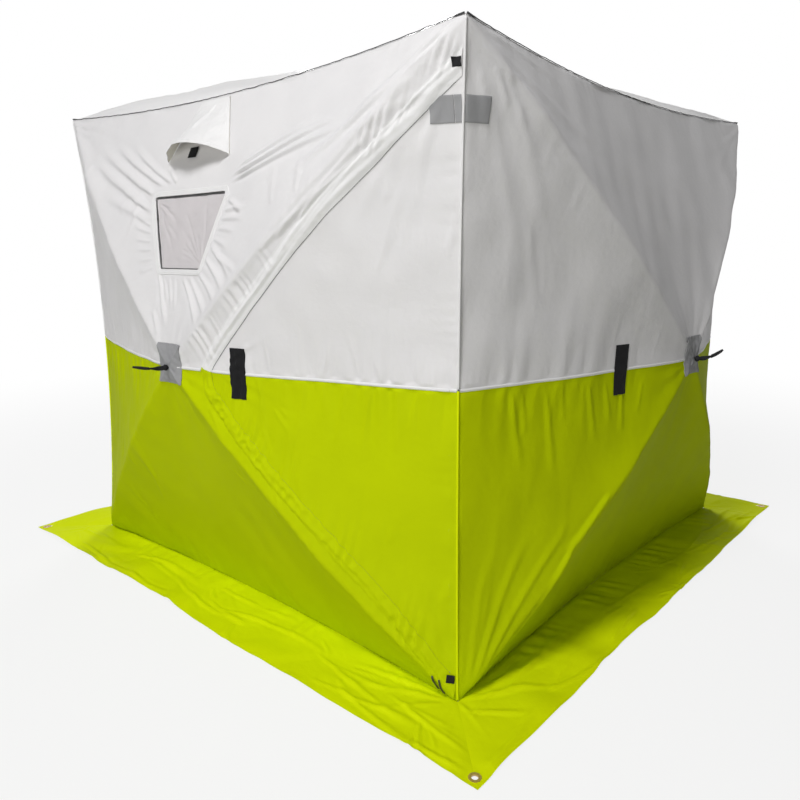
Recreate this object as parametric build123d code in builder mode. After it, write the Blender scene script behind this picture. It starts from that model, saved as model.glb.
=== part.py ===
from build123d import *

import os
from math import sqrt

# Pop-up ice fishing hut: a cube tent of cloth panels, sprung outward by five hubs of bowed rods.
# The origin is at the centre of the base, on the ground. +Z is up and the door wall faces -Y.
# Lengths are in millimetres.

os.makedirs("parts", exist_ok=True)

# ---- Driving dimensions ------------------------------------------------------------------

# Cloth box
half_side = 900.0          # half the side of the square base and of the square eaves
height = 1600.0            # ground to the corners of the eaves
wall_bulge = 212.0         # how far a sprung wall hub stands out of its corner plane
roof_bulge = 212.0         # how far the roof hub stands over the eaves corners
hub_height = 795.0         # height of the wall hubs and of the colour seam
side_sag = 33.0            # how far a standing corner is drawn in, in X and in Y, at mid height
eaves_sag = 33.0           # how far the eaves are drawn in and down at mid length
base_sag = 40.0            # how far the base edge is drawn in at mid length
rod_bow = 40.0             # how far a rod pushes the cloth out of the straight line
facet_bow = 18.0           # the same, halfway between two rods
cloth = 2.0                # thickness of a cloth panel
hub_slit = 0.04            # share of each facet that is left open round the hub
patch_slit = 0.012         # share that is left open round a pull strap

# Fits
seat_gap = 0.3             # between sewn layers
rod_play = 0.6             # between a rod and its bore
door_gap = 5.0             # between the door and the zip line
seam_gap = 0.4             # between the door and the corner strip that it hangs on

# Skirt and eyelets
skirt_width = 213.0
skirt_lift = 1.0           # lower flange of the eyelets, which the skirt lies on
skirt_seam_gap = 1.8       # between the skirt and the foot of the walls
eyelet_inset = 26.0        # from the outer edges of the skirt to an eyelet
eyelet_bore = 8.0
eyelet_barrel = 1.3
eyelet_flange = 15.0
eyelet_flange_thick = 1.0

# Frame
rod_radius = 5.0
rod_inset = 10.0           # from the cloth corner to the meeting point of the rods, per axis
sleeve_radius = 7.0        # round the eight-sided sleeves that the rods plug into
sleeve_depth = 26.0        # depth of their blind bores
rod_end_play = 2.0         # between the end of a rod and the bottom of its bore
socket_block = 15.0        # side of the block that joins the sleeves of a corner
socket_chamfer = 3.0
socket_reach = 42.0        # from the meeting point of the rods to the mouth of a sleeve
hub_reach = 58.0           # the same at a hub
hub_radius = 30.0          # to the corners of its eight-sided body
hub_setback = 9.0          # from the point of the cloth back to the face of the hub
hub_thick = 34.0
hub_chamfer = 3.0

# Door: a triangle between the corner seam and the zip, which turns round at the apex
corner_strip = 18.0        # cloth left between the corner seam and the door
zip_top_drop = 129.0       # from the eaves corner down to the upper end of the zip
zip_foot_height = 70.0
zip_turn_x = 0.17 * half_side          # where the two zip lines would meet
zip_turn_drop = 15.0       # that point below the colour seam
zip_turn_radius = 57.0
upper_zip_swell = (58.0, 15.0)         # how far the upper line rises off straight, at its thirds
lower_zip_swell = (-55.0, 68.0)        # the same for the lower line
zip_tape_width = 14.0
tape_thick = 1.2

# Storm flaps over the zip
flap_width = 42.0
flap_thick = 1.6
flap_corner_gap = 5.0      # from the corner seam to the ends of the flaps
flap_foot_gap = 4.0        # from the skirt to the foot of the lower flap

# Window and vent, with heights as shares of the height from the hubs to the eaves corners
upper_height = height - hub_height
window_top = hub_height + 0.609 * upper_height
window_foot = hub_height + 0.342 * upper_height
window_top_left = -225.0
window_top_right = 142.0
window_foot_left = -116.0
window_foot_right = 85.0
window_border_width = 16.0
window_corner = 8.0
film_lap = 14.0
film_thick = 0.8
vent_hole_x = -40.0
vent_hood_top = height - eaves_sag - 7
vent_hood_foot = hub_height + 0.737 * upper_height
vent_hood_top_left = -99.0
vent_hood_top_right = 40.0
vent_hood_foot_left = -196.0
vent_hood_foot_right = 114.0
vent_hood_bow = 66.0       # how far the middle of the mouth stands out
vent_hood_arch = 38.0      # and how far it rises over the mouth's two ends
vent_hole_width = 150.0
vent_hole_height = 60.0
vent_hole_rise = hub_height + 0.863 * upper_height
vent_stay_left = -91.0      # hook tab on the wall in the mouth of the hood
vent_stay_width = 40.0
vent_stay_height = 30.0
vent_stay_rise = 6.0
hood_lift = 1.2            # inner face of the hood's side seams off the wall
cover_top_gap = 12.0       # gaps that show beside the inner window cover
cover_left_gap = 8.0
cover_foot_gap = 3.0

# Trim
patch_width = 114.0
patch_height = 116.0
patch_rise = 8.0           # how far a hub patch sits above its hub
patch_thick = 1.5
hook_strap_width = 50.0
hook_strap_height = 140.0
hook_strap_thick = 2.0
door_strap_x = zip_turn_x + 88         # left edge of the strap on the door
wall_strap_x = -0.407 * half_side      # left edge of the strap on the side wall, along that wall
corner_patch_reach = 72.0
corner_patch_top_drop = 154.0
corner_patch_height = 56.0
tab_size = 20.0
tab_inset = 27.0           # from the corner plane to the outer side of a tab
tab_rise = 28.0            # upper tab over the upper end of the zip
zip_pull_x = half_side - 54
zip_pull_z = zip_foot_height - 26
zip_pull_step = 16.0
zip_pull_fall = 8.0
zip_pull_width = 6.0
zip_pull_length = 40.0
welt_width = 5.0           # folded seam along the standing corners
welt_thick = 3.0
binding_width = 5.0        # folded tape along the eaves
binding_thick = 2.4
bead_end = 6.0             # from a corner to the end of a welt or binding
pull_width = 14.0
pull_thick = 3.0
pull_reach = 96.0
roof_pull_reach = 82.0
grip_length = 26.0
grip_width = 18.0
grip_thick = 9.0

# Prism depth for cutting layers to their outline
cut_start = half_side - 130
cut_depth = wall_bulge + 230

front = Plane.XZ.offset(cut_start)


# ---- Cloth surfaces ----------------------------------------------------------------------

def patch_net(hub, start, end, sag, outward, slit):
    """Control net of one facet between two rods: from the slit at the hub to the edge."""
    edge_controls = [start, (start + end) * 0.5 + sag * 2, end]
    bow_controls = [rod_bow, 2 * facet_bow - rod_bow, rod_bow]
    reach = [slit, (1 + slit) / 2, 1.0]
    swell = [4 * slit * (1 - slit), 2 - 2 * slit, 0.0]
    net = []
    for along, bulge in zip(reach, swell):
        row = [
            hub * (1 - along) + edge * along + outward * (bulge * bow)
            for edge, bow in zip(edge_controls, bow_controls)
        ]
        net.append(row)
    return net


def strip_between(outer_controls, inner_controls):
    """Ruled face that closes the thickness of a cloth between two matching edges."""
    return Face.make_surface_from_curves(
        Edge.make_bezier(*outer_controls), Edge.make_bezier(*inner_controls)
    )


def sewn_solid(faces):
    """Closed solid from faces that meet edge to edge."""
    return Solid(Shell(faces))


def cloth_fan(outer, inner, slit):
    """Four facets round a hub, as one thin solid. outer and inner each give hub, corners, sags, outward."""
    faces = []
    for side in range(4):
        nets = []
        for hub, corners, sags, outward in (outer, inner):
            start, end = corners[side], corners[(side + 1) % 4]
            nets.append(patch_net(hub, start, end, sags[side], outward, slit))
        faces += [Face.make_bezier_surface(net) for net in nets]
        faces.append(strip_between(nets[0][0], nets[1][0]))
        faces.append(strip_between(nets[0][2], nets[1][2]))
    return sewn_solid(faces)


def closed_sheet(outer, inner):
    """Thin solid between two four-sided control nets of the same make."""
    faces = [Face.make_bezier_surface(outer), Face.make_bezier_surface(inner)]
    borders = [
        (outer[0], inner[0]),
        (outer[-1], inner[-1]),
        ([row[0] for row in outer], [row[0] for row in inner]),
        ([row[-1] for row in outer], [row[-1] for row in inner]),
    ]
    faces += [strip_between(*pair) for pair in borders]
    return sewn_solid(faces)


def wall_frame(inset):
    """Hub, corners and sags of the front wall's surface, set in from the outside of the cloth."""
    side = half_side - inset
    top = height - inset
    corners = [
        Vector(-side, -side, 0), Vector(side, -side, 0),
        Vector(side, -side, top), Vector(-side, -side, top),
    ]
    sags = [
        Vector(0, base_sag, 0), Vector(-side_sag, side_sag, 0),
        Vector(0, eaves_sag, -eaves_sag), Vector(side_sag, side_sag, 0),
    ]
    hub = Vector(0, -(half_side + wall_bulge - inset), hub_height)
    return hub, corners, sags, Vector(0, -1, 0)


def roof_frame(inset):
    """Hub, corners and sags of the roof's surface."""
    side = half_side - inset
    top = height - inset
    corners = [
        Vector(-side, -side, top), Vector(side, -side, top),
        Vector(side, side, top), Vector(-side, side, top),
    ]
    sags = [
        Vector(0, eaves_sag, -eaves_sag), Vector(-eaves_sag, 0, -eaves_sag),
        Vector(0, -eaves_sag, -eaves_sag), Vector(eaves_sag, 0, -eaves_sag),
    ]
    return Vector(0, 0, height + roof_bulge - inset), corners, sags, Vector(0, 0, 1)


def wall_layer(lift, thick, slit=hub_slit):
    """Whole front wall as a layer of cloth whose back lies lift outside the wall's own face."""
    return cloth_fan(wall_frame(-lift - thick), wall_frame(-lift), slit)


def roof_layer(lift, thick, slit=hub_slit):
    return cloth_fan(roof_frame(-lift - thick), roof_frame(-lift), slit)


def corner_x(z):
    """Where the drawn-in standing corner lies in X at a height."""
    share = z / height
    return half_side - 4 * share * (1 - share) * side_sag


def wall_point(x, z, lift=0.0):
    """Point on the top facet of the front wall, lift outside its face."""
    across, along = 0.5, 0.5
    for _ in range(30):
        edge_height = height - 4 * across * (1 - across) * eaves_sag
        along = (z - hub_height) / (edge_height - hub_height)
        across = 0.5 + x / (2 * half_side * along)
    sag = 4 * across * (1 - across)
    bow = rod_bow + (facet_bow - rod_bow) * sag
    out = (1 - along) * (half_side + wall_bulge) + along * (half_side - sag * eaves_sag)
    return Vector(x, -(out + 4 * along * (1 - along) * bow + lift), z)


# ---- Outlines on the door wall (X across, Z up) ------------------------------------------

zip_top_z = height - zip_top_drop


def beside_corner(z, inset):
    return Vector(corner_x(z) - inset, z)


def swollen_line(start, end, swell):
    """Controls of a shallow curve whose thirds lie off the straight line by a swell, in Z."""
    first = start * (2 / 3) + end * (1 / 3) + Vector(0, swell[0])
    second = start * (1 / 3) + end * (2 / 3) + Vector(0, swell[1])
    return first, second


def zip_area(clearance):
    """All that lies on the corner's side of the zip, drawn in by a clearance, or out if negative."""
    turn = Vector(zip_turn_x, hub_height - zip_turn_drop)
    top = beside_corner(zip_top_z, corner_strip)
    foot = beside_corner(zip_foot_height, corner_strip)
    up, down = (top - turn).normalized(), (foot - turn).normalized()
    inward_of_upper, inward_of_lower = Vector(up.Y, -up.X), Vector(-down.Y, down.X)
    share = clearance / (1 + inward_of_upper.dot(inward_of_lower))
    turn += (inward_of_upper + inward_of_lower) * share
    top += inward_of_upper * clearance
    foot += inward_of_lower * clearance
    top_first, top_second = swollen_line(turn, top, upper_zip_swell)
    foot_first, foot_second = swollen_line(turn, foot, lower_zip_swell)
    far_top = top + (top - top_second) * 3
    far_foot = foot + (foot - foot_second) * 3
    with BuildSketch() as outline:
        with BuildLine():
            Bezier(turn, top_first, top_second, top)
            Polyline(top, far_top, far_foot, foot)
            Bezier(foot, foot_second, foot_first, turn)
        make_face()
        fillet(outline.vertices().sort_by(Axis.X)[0], zip_turn_radius - clearance)
    return outline.sketch


def left_of_corner(inset):
    """All of the wall to the left of the drawn-in corner, less a strip."""
    foot = beside_corner(0, inset)
    top = beside_corner(height, inset)
    beyond = 2 * half_side
    with BuildSketch() as outline:
        with BuildLine():
            ThreePointArc(foot, beside_corner(height / 2, inset), top)
            Polyline(
                top, (top.X, top.Y + beyond), (-beyond, top.Y + beyond),
                (-beyond, foot.Y - beyond), (foot.X, foot.Y - beyond), foot,
            )
        make_face()
    return outline.sketch


def trapezoid(foot_left, foot_right, foot, top_left, top_right, top, grow, rounding):
    """Four-sided outline with rounded corners, grown outward."""
    with BuildSketch() as outline:
        with BuildLine():
            Polyline((foot_left, foot), (foot_right, foot), (top_right, top), (top_left, top), close=True)
        make_face()
        if grow:
            offset(amount=grow, kind=Kind.INTERSECTION, mode=Mode.REPLACE)
        fillet(outline.vertices(), rounding)
    return outline.sketch


def window_outline(grow):
    return trapezoid(
        window_foot_left, window_foot_right, window_foot,
        window_top_left, window_top_right, window_top, grow, window_corner,
    )


def band(low, high):
    """Band across a whole wall between two heights."""
    with BuildSketch() as outline:
        with Locations((0, (low + high) / 2)):
            Rectangle(4 * half_side, high - low)
    return outline.sketch


def block(left, low, width, tall):
    """Rectangle from its lower left corner."""
    with BuildSketch() as outline:
        with Locations((left, low)):
            Rectangle(width, tall, align=Align.MIN)
    return outline.sketch


# ---- Cloth layers, each a whole wall -----------------------------------------------------

wall_skin = wall_layer(-cloth, cloth)
roof_skin = roof_layer(-cloth, cloth)
inner_layer = wall_layer(-cloth - seat_gap - tape_thick, tape_thick)
film_layer = wall_layer(-cloth - seat_gap - film_thick, film_thick)
cover_layer = wall_layer(-cloth - 2 * seat_gap - film_thick - tape_thick, tape_thick)
trim_layer = wall_layer(seat_gap, patch_thick)
flap_layer = wall_layer(seat_gap, flap_thick)
strap_layer = wall_layer(seat_gap, hook_strap_thick)
patch_layer = wall_layer(seat_gap, patch_thick, patch_slit)
roof_patch_layer = roof_layer(seat_gap, patch_thick, patch_slit)
tab_layer = wall_layer(2 * seat_gap + flap_thick, tape_thick)

above_seam = band(hub_height, 2 * height)
above_skirt = band(skirt_lift + cloth + flap_foot_gap, 2 * height)
below_seam = band(-height, hub_height)
clear_of_strip = left_of_corner(corner_strip)
zip_side = zip_area(0)
leaf_side = zip_area(door_gap)


# ---- Door wall ---------------------------------------------------------------------------

with BuildPart() as front_wall_upper:
    add(wall_skin)
    with BuildSketch(front):
        add(above_seam)
        add(zip_side, mode=Mode.SUBTRACT)
        add(window_outline(0), mode=Mode.SUBTRACT)
        with Locations((vent_hole_x, vent_hole_rise)):
            SlotOverall(vent_hole_width, vent_hole_height, mode=Mode.SUBTRACT)
    extrude(amount=cut_depth, mode=Mode.INTERSECT)
front_wall_upper.part.label = "front_wall_upper"

with BuildPart() as front_wall_lower:
    add(wall_skin)
    with BuildSketch(front):
        add(below_seam)
        add(zip_side, mode=Mode.SUBTRACT)
    extrude(amount=cut_depth, mode=Mode.INTERSECT)
front_wall_lower.part.label = "front_wall_lower"

with BuildPart() as corner_strip_upper:
    add(wall_skin)
    with BuildSketch(front):
        add(zip_side)
        add(above_seam, mode=Mode.INTERSECT)
        add(clear_of_strip, mode=Mode.SUBTRACT)
    extrude(amount=cut_depth, mode=Mode.INTERSECT)
corner_strip_upper.part.label = "corner_strip_upper"

with BuildPart() as corner_strip_lower:
    add(wall_skin)
    with BuildSketch(front):
        add(zip_side)
        add(below_seam, mode=Mode.INTERSECT)
        add(clear_of_strip, mode=Mode.SUBTRACT)
    extrude(amount=cut_depth, mode=Mode.INTERSECT)
corner_strip_lower.part.label = "corner_strip_lower"

with BuildPart() as zip_tape:
    add(inner_layer)
    with BuildSketch(front):
        add(zip_area(-zip_tape_width))
        add(zip_side, mode=Mode.SUBTRACT)
        add(clear_of_strip, mode=Mode.INTERSECT)
    extrude(amount=cut_depth, mode=Mode.INTERSECT)
zip_tape.part.label = "zip_tape"

with BuildPart() as storm_flap_upper:
    add(flap_layer)
    with BuildSketch(front):
        add(zip_area(-flap_width))
        add(zip_side, mode=Mode.SUBTRACT)
        add(left_of_corner(flap_corner_gap), mode=Mode.INTERSECT)
        add(above_seam, mode=Mode.INTERSECT)
    extrude(amount=cut_depth, mode=Mode.INTERSECT)
storm_flap_upper.part.label = "storm_flap_upper"

with BuildPart() as storm_flap_lower:
    add(flap_layer)
    with BuildSketch(front):
        add(zip_area(-flap_width))
        add(zip_side, mode=Mode.SUBTRACT)
        add(left_of_corner(flap_corner_gap), mode=Mode.INTERSECT)
        add(below_seam, mode=Mode.INTERSECT)
        add(above_skirt, mode=Mode.INTERSECT)
    extrude(amount=cut_depth, mode=Mode.INTERSECT)
storm_flap_lower.part.label = "storm_flap_lower"


# ---- Door, which hangs on the corner strip -----------------------------------------------

clear_of_seam = left_of_corner(corner_strip + seam_gap)

with BuildPart() as door_upper:
    add(wall_skin)
    with BuildSketch(front):
        add(leaf_side)
        add(clear_of_seam, mode=Mode.INTERSECT)
        add(above_seam, mode=Mode.INTERSECT)
    extrude(amount=cut_depth, mode=Mode.INTERSECT)
door_upper.part.label = "door_upper"

with BuildPart() as door_lower:
    add(wall_skin)
    with BuildSketch(front):
        add(leaf_side)
        add(clear_of_seam, mode=Mode.INTERSECT)
        add(below_seam, mode=Mode.INTERSECT)
    extrude(amount=cut_depth, mode=Mode.INTERSECT)
door_lower.part.label = "door_lower"

with BuildPart() as door_zip_tape:
    add(inner_layer)
    with BuildSketch(front):
        add(leaf_side)
        add(zip_area(door_gap + zip_tape_width), mode=Mode.SUBTRACT)
        add(left_of_corner(corner_strip + door_gap), mode=Mode.INTERSECT)
    extrude(amount=cut_depth, mode=Mode.INTERSECT)
door_zip_tape.part.label = "door_zip_tape"

with BuildPart() as door_strap:
    add(strap_layer)
    with BuildSketch(front):
        add(block(door_strap_x, hub_height - hook_strap_height / 2, hook_strap_width, hook_strap_height))
        add(leaf_side, mode=Mode.INTERSECT)
    extrude(amount=cut_depth, mode=Mode.INTERSECT)
door_strap.part.label = "door_strap"

corner_patch_low = height - corner_patch_top_drop - corner_patch_height

with BuildPart() as door_corner_patch:
    add(trim_layer)
    with BuildSketch(front):
        add(block(half_side - corner_patch_reach, corner_patch_low, half_side, corner_patch_height))
        add(zip_area(door_gap + seat_gap), mode=Mode.INTERSECT)
        add(clear_of_seam, mode=Mode.INTERSECT)
    extrude(amount=cut_depth, mode=Mode.INTERSECT)
door_corner_patch.part.label = "door_corner_patch"


# ---- Window and vent ---------------------------------------------------------------------

with BuildPart() as window_border:
    add(trim_layer)
    with BuildSketch(front):
        add(window_outline(window_border_width))
        add(window_outline(0), mode=Mode.SUBTRACT)
    extrude(amount=cut_depth, mode=Mode.INTERSECT)
window_border.part.label = "window_border"

with BuildPart() as window_film:
    add(film_layer)
    with BuildSketch(front):
        add(window_outline(film_lap))
    extrude(amount=cut_depth, mode=Mode.INTERSECT)
window_film.part.label = "window_film"

with BuildPart() as window_cover:
    add(cover_layer)
    with BuildSketch(front):
        add(
            trapezoid(
                window_foot_left + cover_left_gap, window_foot_right + film_lap,
                window_foot + cover_foot_gap, window_top_left + cover_left_gap,
                window_top_right + film_lap, window_top - cover_top_gap, 0, window_corner,
            )
        )
    extrude(amount=cut_depth, mode=Mode.INTERSECT)
window_cover.part.label = "window_cover"

with BuildPart() as vent_mesh:
    add(film_layer)
    with BuildSketch(front):
        with Locations((vent_hole_x, vent_hole_rise)):
            SlotOverall(vent_hole_width + 2 * film_lap, vent_hole_height + 2 * film_lap)
    extrude(amount=cut_depth, mode=Mode.INTERSECT)
vent_mesh.part.label = "vent_mesh"


def hood_net(lift):
    """Control net of the vent hood, from its head seam to its arched mouth."""
    head = [
        wall_point(x, vent_hood_top, lift)
        for x in (vent_hood_top_left, (vent_hood_top_left + vent_hood_top_right) / 2, vent_hood_top_right)
    ]
    middle = (vent_hood_foot_left + vent_hood_foot_right) / 2
    mouth = [
        wall_point(x, vent_hood_foot, lift)
        for x in (vent_hood_foot_left, middle, vent_hood_foot_right)
    ]
    mouth[1] += Vector(0, -2 * vent_hood_bow, 2 * vent_hood_arch)
    waist = [(upper + lower) * 0.5 for upper, lower in zip(head, mouth)]
    return [head, waist, mouth]


with BuildPart() as vent_hood:
    add(closed_sheet(hood_net(hood_lift + patch_thick), hood_net(hood_lift)))
vent_hood.part.label = "vent_hood"

with BuildPart() as vent_stay:
    add(strap_layer)
    with BuildSketch(front):
        add(block(vent_stay_left, vent_hood_foot + vent_stay_rise, vent_stay_width, vent_stay_height))
    extrude(amount=cut_depth, mode=Mode.INTERSECT)
vent_stay.part.label = "vent_stay"


# ---- Plain walls and roof ----------------------------------------------------------------

sides = {"right": 90, "back": 180, "left": 270}
plain_walls = []

for side, turn in sides.items():
    with BuildPart() as wall_upper:
        add(wall_skin)
        with BuildSketch(front):
            add(above_seam)
        extrude(amount=cut_depth, mode=Mode.INTERSECT)
    with BuildPart() as wall_lower:
        add(wall_skin)
        with BuildSketch(front):
            add(below_seam)
        extrude(amount=cut_depth, mode=Mode.INTERSECT)
    for wall, tier in ((wall_upper, "upper"), (wall_lower, "lower")):
        placed = wall.part.rotate(Axis.Z, turn)
        placed.label = f"{side}_wall_{tier}"
        plain_walls.append(placed)

with BuildPart() as roof_panel:
    add(roof_skin)
roof_panel.part.label = "roof_panel"


# ---- Rods, hubs and corner sockets -------------------------------------------------------

rod_side = half_side - rod_inset
rod_top = height - rod_inset
wall_rod_hub = Vector(0, -(half_side + wall_bulge - rod_inset), hub_height)
wall_rod_ends = [
    Vector(x * rod_side, -rod_side, z) for x in (-1, 1) for z in (rod_inset, rod_top)
]
roof_rod_hub = Vector(0, 0, height + roof_bulge - rod_inset)
roof_rod_ends = [Vector(x * rod_side, y * rod_side, rod_top) for x in (-1, 1) for y in (-1, 1)]


def rod_heading(hub, end, outward, share):
    """Direction of a bowed rod's centre line from its hub, at a share of its way."""
    return (end - hub + outward * (4 * (1 - 2 * share) * rod_bow)).normalized()


def rod_set(hub, ends, outward):
    """The four rods of one face, each from the bottom of its hub bore to that of its corner bore."""
    with BuildPart() as rods:
        for end in ends:
            start = hub + rod_heading(hub, end, outward, 0) * (hub_reach - sleeve_depth + rod_end_play)
            finish = end - rod_heading(hub, end, outward, 1) * (socket_reach - sleeve_depth + rod_end_play)
            with BuildLine() as centre_line:
                ThreePointArc(start, (hub + end) * 0.5 + outward * rod_bow, finish)
            with BuildSketch(centre_line.line ^ 0):
                Circle(rod_radius)
            sweep(path=centre_line.line)
    return rods.part


def sleeve_mouth(meeting_point, heading, reach):
    """Plane of the mouth of a sleeve, facing out of its bore."""
    return Plane(origin=meeting_point + heading * reach, z_dir=heading)


def hub_block(hub, ends, outward):
    """Eight-sided hub with a bored sleeve for each rod."""
    face = Plane(origin=hub + outward * (rod_inset - hub_setback), z_dir=outward)
    with BuildPart() as block:
        with BuildSketch(face):
            RegularPolygon(hub_radius, 8, rotation=22.5)
        extrude(amount=-hub_thick)
        chamfer(block.faces().sort_by(Axis(face.origin, face.z_dir))[-1].edges(), hub_chamfer)
        mouths = [sleeve_mouth(hub, rod_heading(hub, end, outward, 0), hub_reach) for end in ends]
        with BuildSketch(*mouths):
            RegularPolygon(sleeve_radius, 8)
        extrude(amount=-hub_reach + hub_radius / 2)
        with BuildSketch(*mouths):
            Circle(rod_radius + rod_play)
        extrude(amount=-sleeve_depth, mode=Mode.SUBTRACT)
    return block.part


def corner_socket(meeting_point, headings):
    """Chamfered block with a bored sleeve along each heading."""
    with BuildPart() as socket:
        with Locations(meeting_point):
            Box(socket_block, socket_block, socket_block)
        chamfer(socket.edges(), socket_chamfer)
        mouths = [sleeve_mouth(meeting_point, heading, socket_reach) for heading in headings]
        with BuildSketch(*mouths):
            RegularPolygon(sleeve_radius, 8)
        extrude(amount=-socket_reach)
        with BuildSketch(*mouths):
            Circle(rod_radius + rod_play)
        extrude(amount=-sleeve_depth, mode=Mode.SUBTRACT)
    return socket.part


ahead, upward = Vector(0, -1, 0), Vector(0, 0, 1)
wall_rods = rod_set(wall_rod_hub, wall_rod_ends, ahead)
wall_hub = hub_block(wall_rod_hub, wall_rod_ends, ahead)

with BuildPart() as front_rods:
    add(wall_rods)
front_rods.part.label = "front_rods"

with BuildPart() as right_rods:
    add(wall_rods, rotation=(0, 0, 90))
right_rods.part.label = "right_rods"

with BuildPart() as back_rods:
    add(wall_rods, rotation=(0, 0, 180))
back_rods.part.label = "back_rods"

with BuildPart() as left_rods:
    add(wall_rods, rotation=(0, 0, 270))
left_rods.part.label = "left_rods"

with BuildPart() as roof_rods:
    add(rod_set(roof_rod_hub, roof_rod_ends, upward))
roof_rods.part.label = "roof_rods"

with BuildPart() as wall_hubs:
    for turn in (0, 90, 180, 270):
        add(wall_hub, rotation=(0, 0, turn))
wall_hubs.part.label = "wall_hubs"

with BuildPart() as roof_hub:
    add(hub_block(roof_rod_hub, roof_rod_ends, upward))
roof_hub.part.label = "roof_hub"

# The near right corner: its front rods arrive along X, its right rods along Y
near_foot, near_top = wall_rod_ends[2:]
foot_heading = -rod_heading(wall_rod_hub, near_foot, ahead, 1)
top_heading = -rod_heading(wall_rod_hub, near_top, ahead, 1)
roof_heading = -rod_heading(roof_rod_hub, near_top, upward, 1)


def across_the_corner(heading):
    """The same heading on the wall round the corner."""
    return Vector(-heading.Y, -heading.X, heading.Z)


foot_socket = corner_socket(near_foot, [foot_heading, across_the_corner(foot_heading)])
top_socket = corner_socket(near_top, [top_heading, across_the_corner(top_heading), roof_heading])

with BuildPart() as foot_sockets:
    for turn in (0, 90, 180, 270):
        add(foot_socket, rotation=(0, 0, turn))
foot_sockets.part.label = "foot_sockets"

with BuildPart() as top_sockets:
    for turn in (0, 90, 180, 270):
        add(top_socket, rotation=(0, 0, turn))
top_sockets.part.label = "top_sockets"


# ---- Patches, straps and tabs ------------------------------------------------------------

with BuildPart() as wall_patch:
    add(patch_layer)
    with BuildSketch(front):
        with Locations((0, hub_height + patch_rise)):
            Rectangle(patch_width, patch_height)
    extrude(amount=cut_depth, mode=Mode.INTERSECT)

with BuildPart() as wall_hub_patches:
    for turn in (0, 90, 180, 270):
        add(wall_patch.part, rotation=(0, 0, turn))
wall_hub_patches.part.label = "wall_hub_patches"

with BuildPart() as roof_hub_patch:
    add(roof_patch_layer)
    with BuildSketch(Plane.XY.offset(height)):
        Rectangle(patch_width, patch_width)
    extrude(amount=2 * roof_bulge, mode=Mode.INTERSECT)
roof_hub_patch.part.label = "roof_hub_patch"

wall_hub_face = Plane(
    origin=(0, -(half_side + wall_bulge - hub_setback), hub_height), x_dir=(1, 0, 0), z_dir=(0, -1, 0)
)
roof_hub_face = Plane.XY.offset(height + roof_bulge - hub_setback)

with BuildPart() as wall_pull:
    with BuildSketch(wall_hub_face):
        Rectangle(pull_width, pull_thick)
    extrude(amount=pull_reach)
    with BuildSketch(wall_hub_face.offset(pull_reach - grip_length)):
        Rectangle(grip_width, grip_thick)
    extrude(amount=grip_length)

with BuildPart() as wall_pull_straps:
    for turn in (0, 90, 180, 270):
        add(wall_pull.part, rotation=(0, 0, turn))
wall_pull_straps.part.label = "wall_pull_straps"

with BuildPart() as roof_pull_strap:
    with BuildSketch(roof_hub_face):
        Rectangle(pull_width, pull_thick)
    extrude(amount=roof_pull_reach)
    with BuildSketch(roof_hub_face.offset(roof_pull_reach - grip_length)):
        Rectangle(grip_width, grip_thick)
    extrude(amount=grip_length)
roof_pull_strap.part.label = "roof_pull_strap"

with BuildPart() as wall_strap_blank:
    add(strap_layer)
    with BuildSketch(front):
        add(block(wall_strap_x, hub_height - hook_strap_height / 2, hook_strap_width, hook_strap_height))
    extrude(amount=cut_depth, mode=Mode.INTERSECT)

with BuildPart() as wall_strap:
    add(wall_strap_blank.part, rotation=(0, 0, 90))
wall_strap.part.label = "wall_strap"

with BuildPart() as side_patch:
    add(trim_layer)
    with BuildSketch(front):
        add(block(-half_side, corner_patch_low, corner_patch_reach, corner_patch_height))
        add(mirror(left_of_corner(flap_corner_gap), Plane.YZ, mode=Mode.PRIVATE), mode=Mode.INTERSECT)
    extrude(amount=cut_depth, mode=Mode.INTERSECT)

with BuildPart() as strip_patch:
    add(trim_layer)
    with BuildSketch(front):
        add(block(0, corner_patch_low, half_side, corner_patch_height))
        add(clear_of_strip, mode=Mode.SUBTRACT)
        add(left_of_corner(flap_corner_gap), mode=Mode.INTERSECT)
    extrude(amount=cut_depth, mode=Mode.INTERSECT)

with BuildPart() as corner_patch:
    add(side_patch.part, rotation=(0, 0, 90))
    add(strip_patch.part)
corner_patch.part.label = "corner_patch"

with BuildPart() as zip_end_tabs:
    add(tab_layer)
    with BuildSketch(front):
        add(block(half_side - tab_inset, zip_top_z + tab_rise, tab_size, tab_size))
        add(block(half_side - tab_inset, zip_foot_height - tab_size, tab_size, tab_size))
        add(left_of_corner(1), mode=Mode.INTERSECT)
    extrude(amount=cut_depth, mode=Mode.INTERSECT)
zip_end_tabs.part.label = "zip_end_tabs"

with BuildPart() as zip_pulls:
    add(tab_layer)
    with BuildSketch(front):
        with Locations((zip_pull_x, zip_pull_z), (zip_pull_x + zip_pull_step, zip_pull_z - zip_pull_fall)):
            SlotOverall(zip_pull_length, zip_pull_width, rotation=-75)
    extrude(amount=cut_depth, mode=Mode.INTERSECT)
zip_pulls.part.label = "zip_pulls"


# ---- Edge trim ---------------------------------------------------------------------------

def corner_welt(low, high):
    """Folded seam along the near right standing corner between two heights, square to the diagonal."""
    with BuildPart() as welt:
        with BuildLine() as seam:
            out = (welt_thick / 2 + seat_gap) / sqrt(2)
            levels = (low, (low + high) / 2, high)
            ThreePointArc(*[(corner_x(z) + out, -corner_x(z) - out, z) for z in levels])
        with BuildSketch(Plane(origin=seam.line @ 0, x_dir=(1, 1, 0), z_dir=seam.line % 0)):
            Rectangle(welt_width, welt_thick)
        sweep(path=seam.line)
    return welt.part


with BuildPart() as corner_piping_upper:
    for turn in (0, 90, 180, 270):
        add(corner_welt(hub_height, height - bead_end), rotation=(0, 0, turn))
corner_piping_upper.part.label = "corner_piping_upper"

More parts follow.
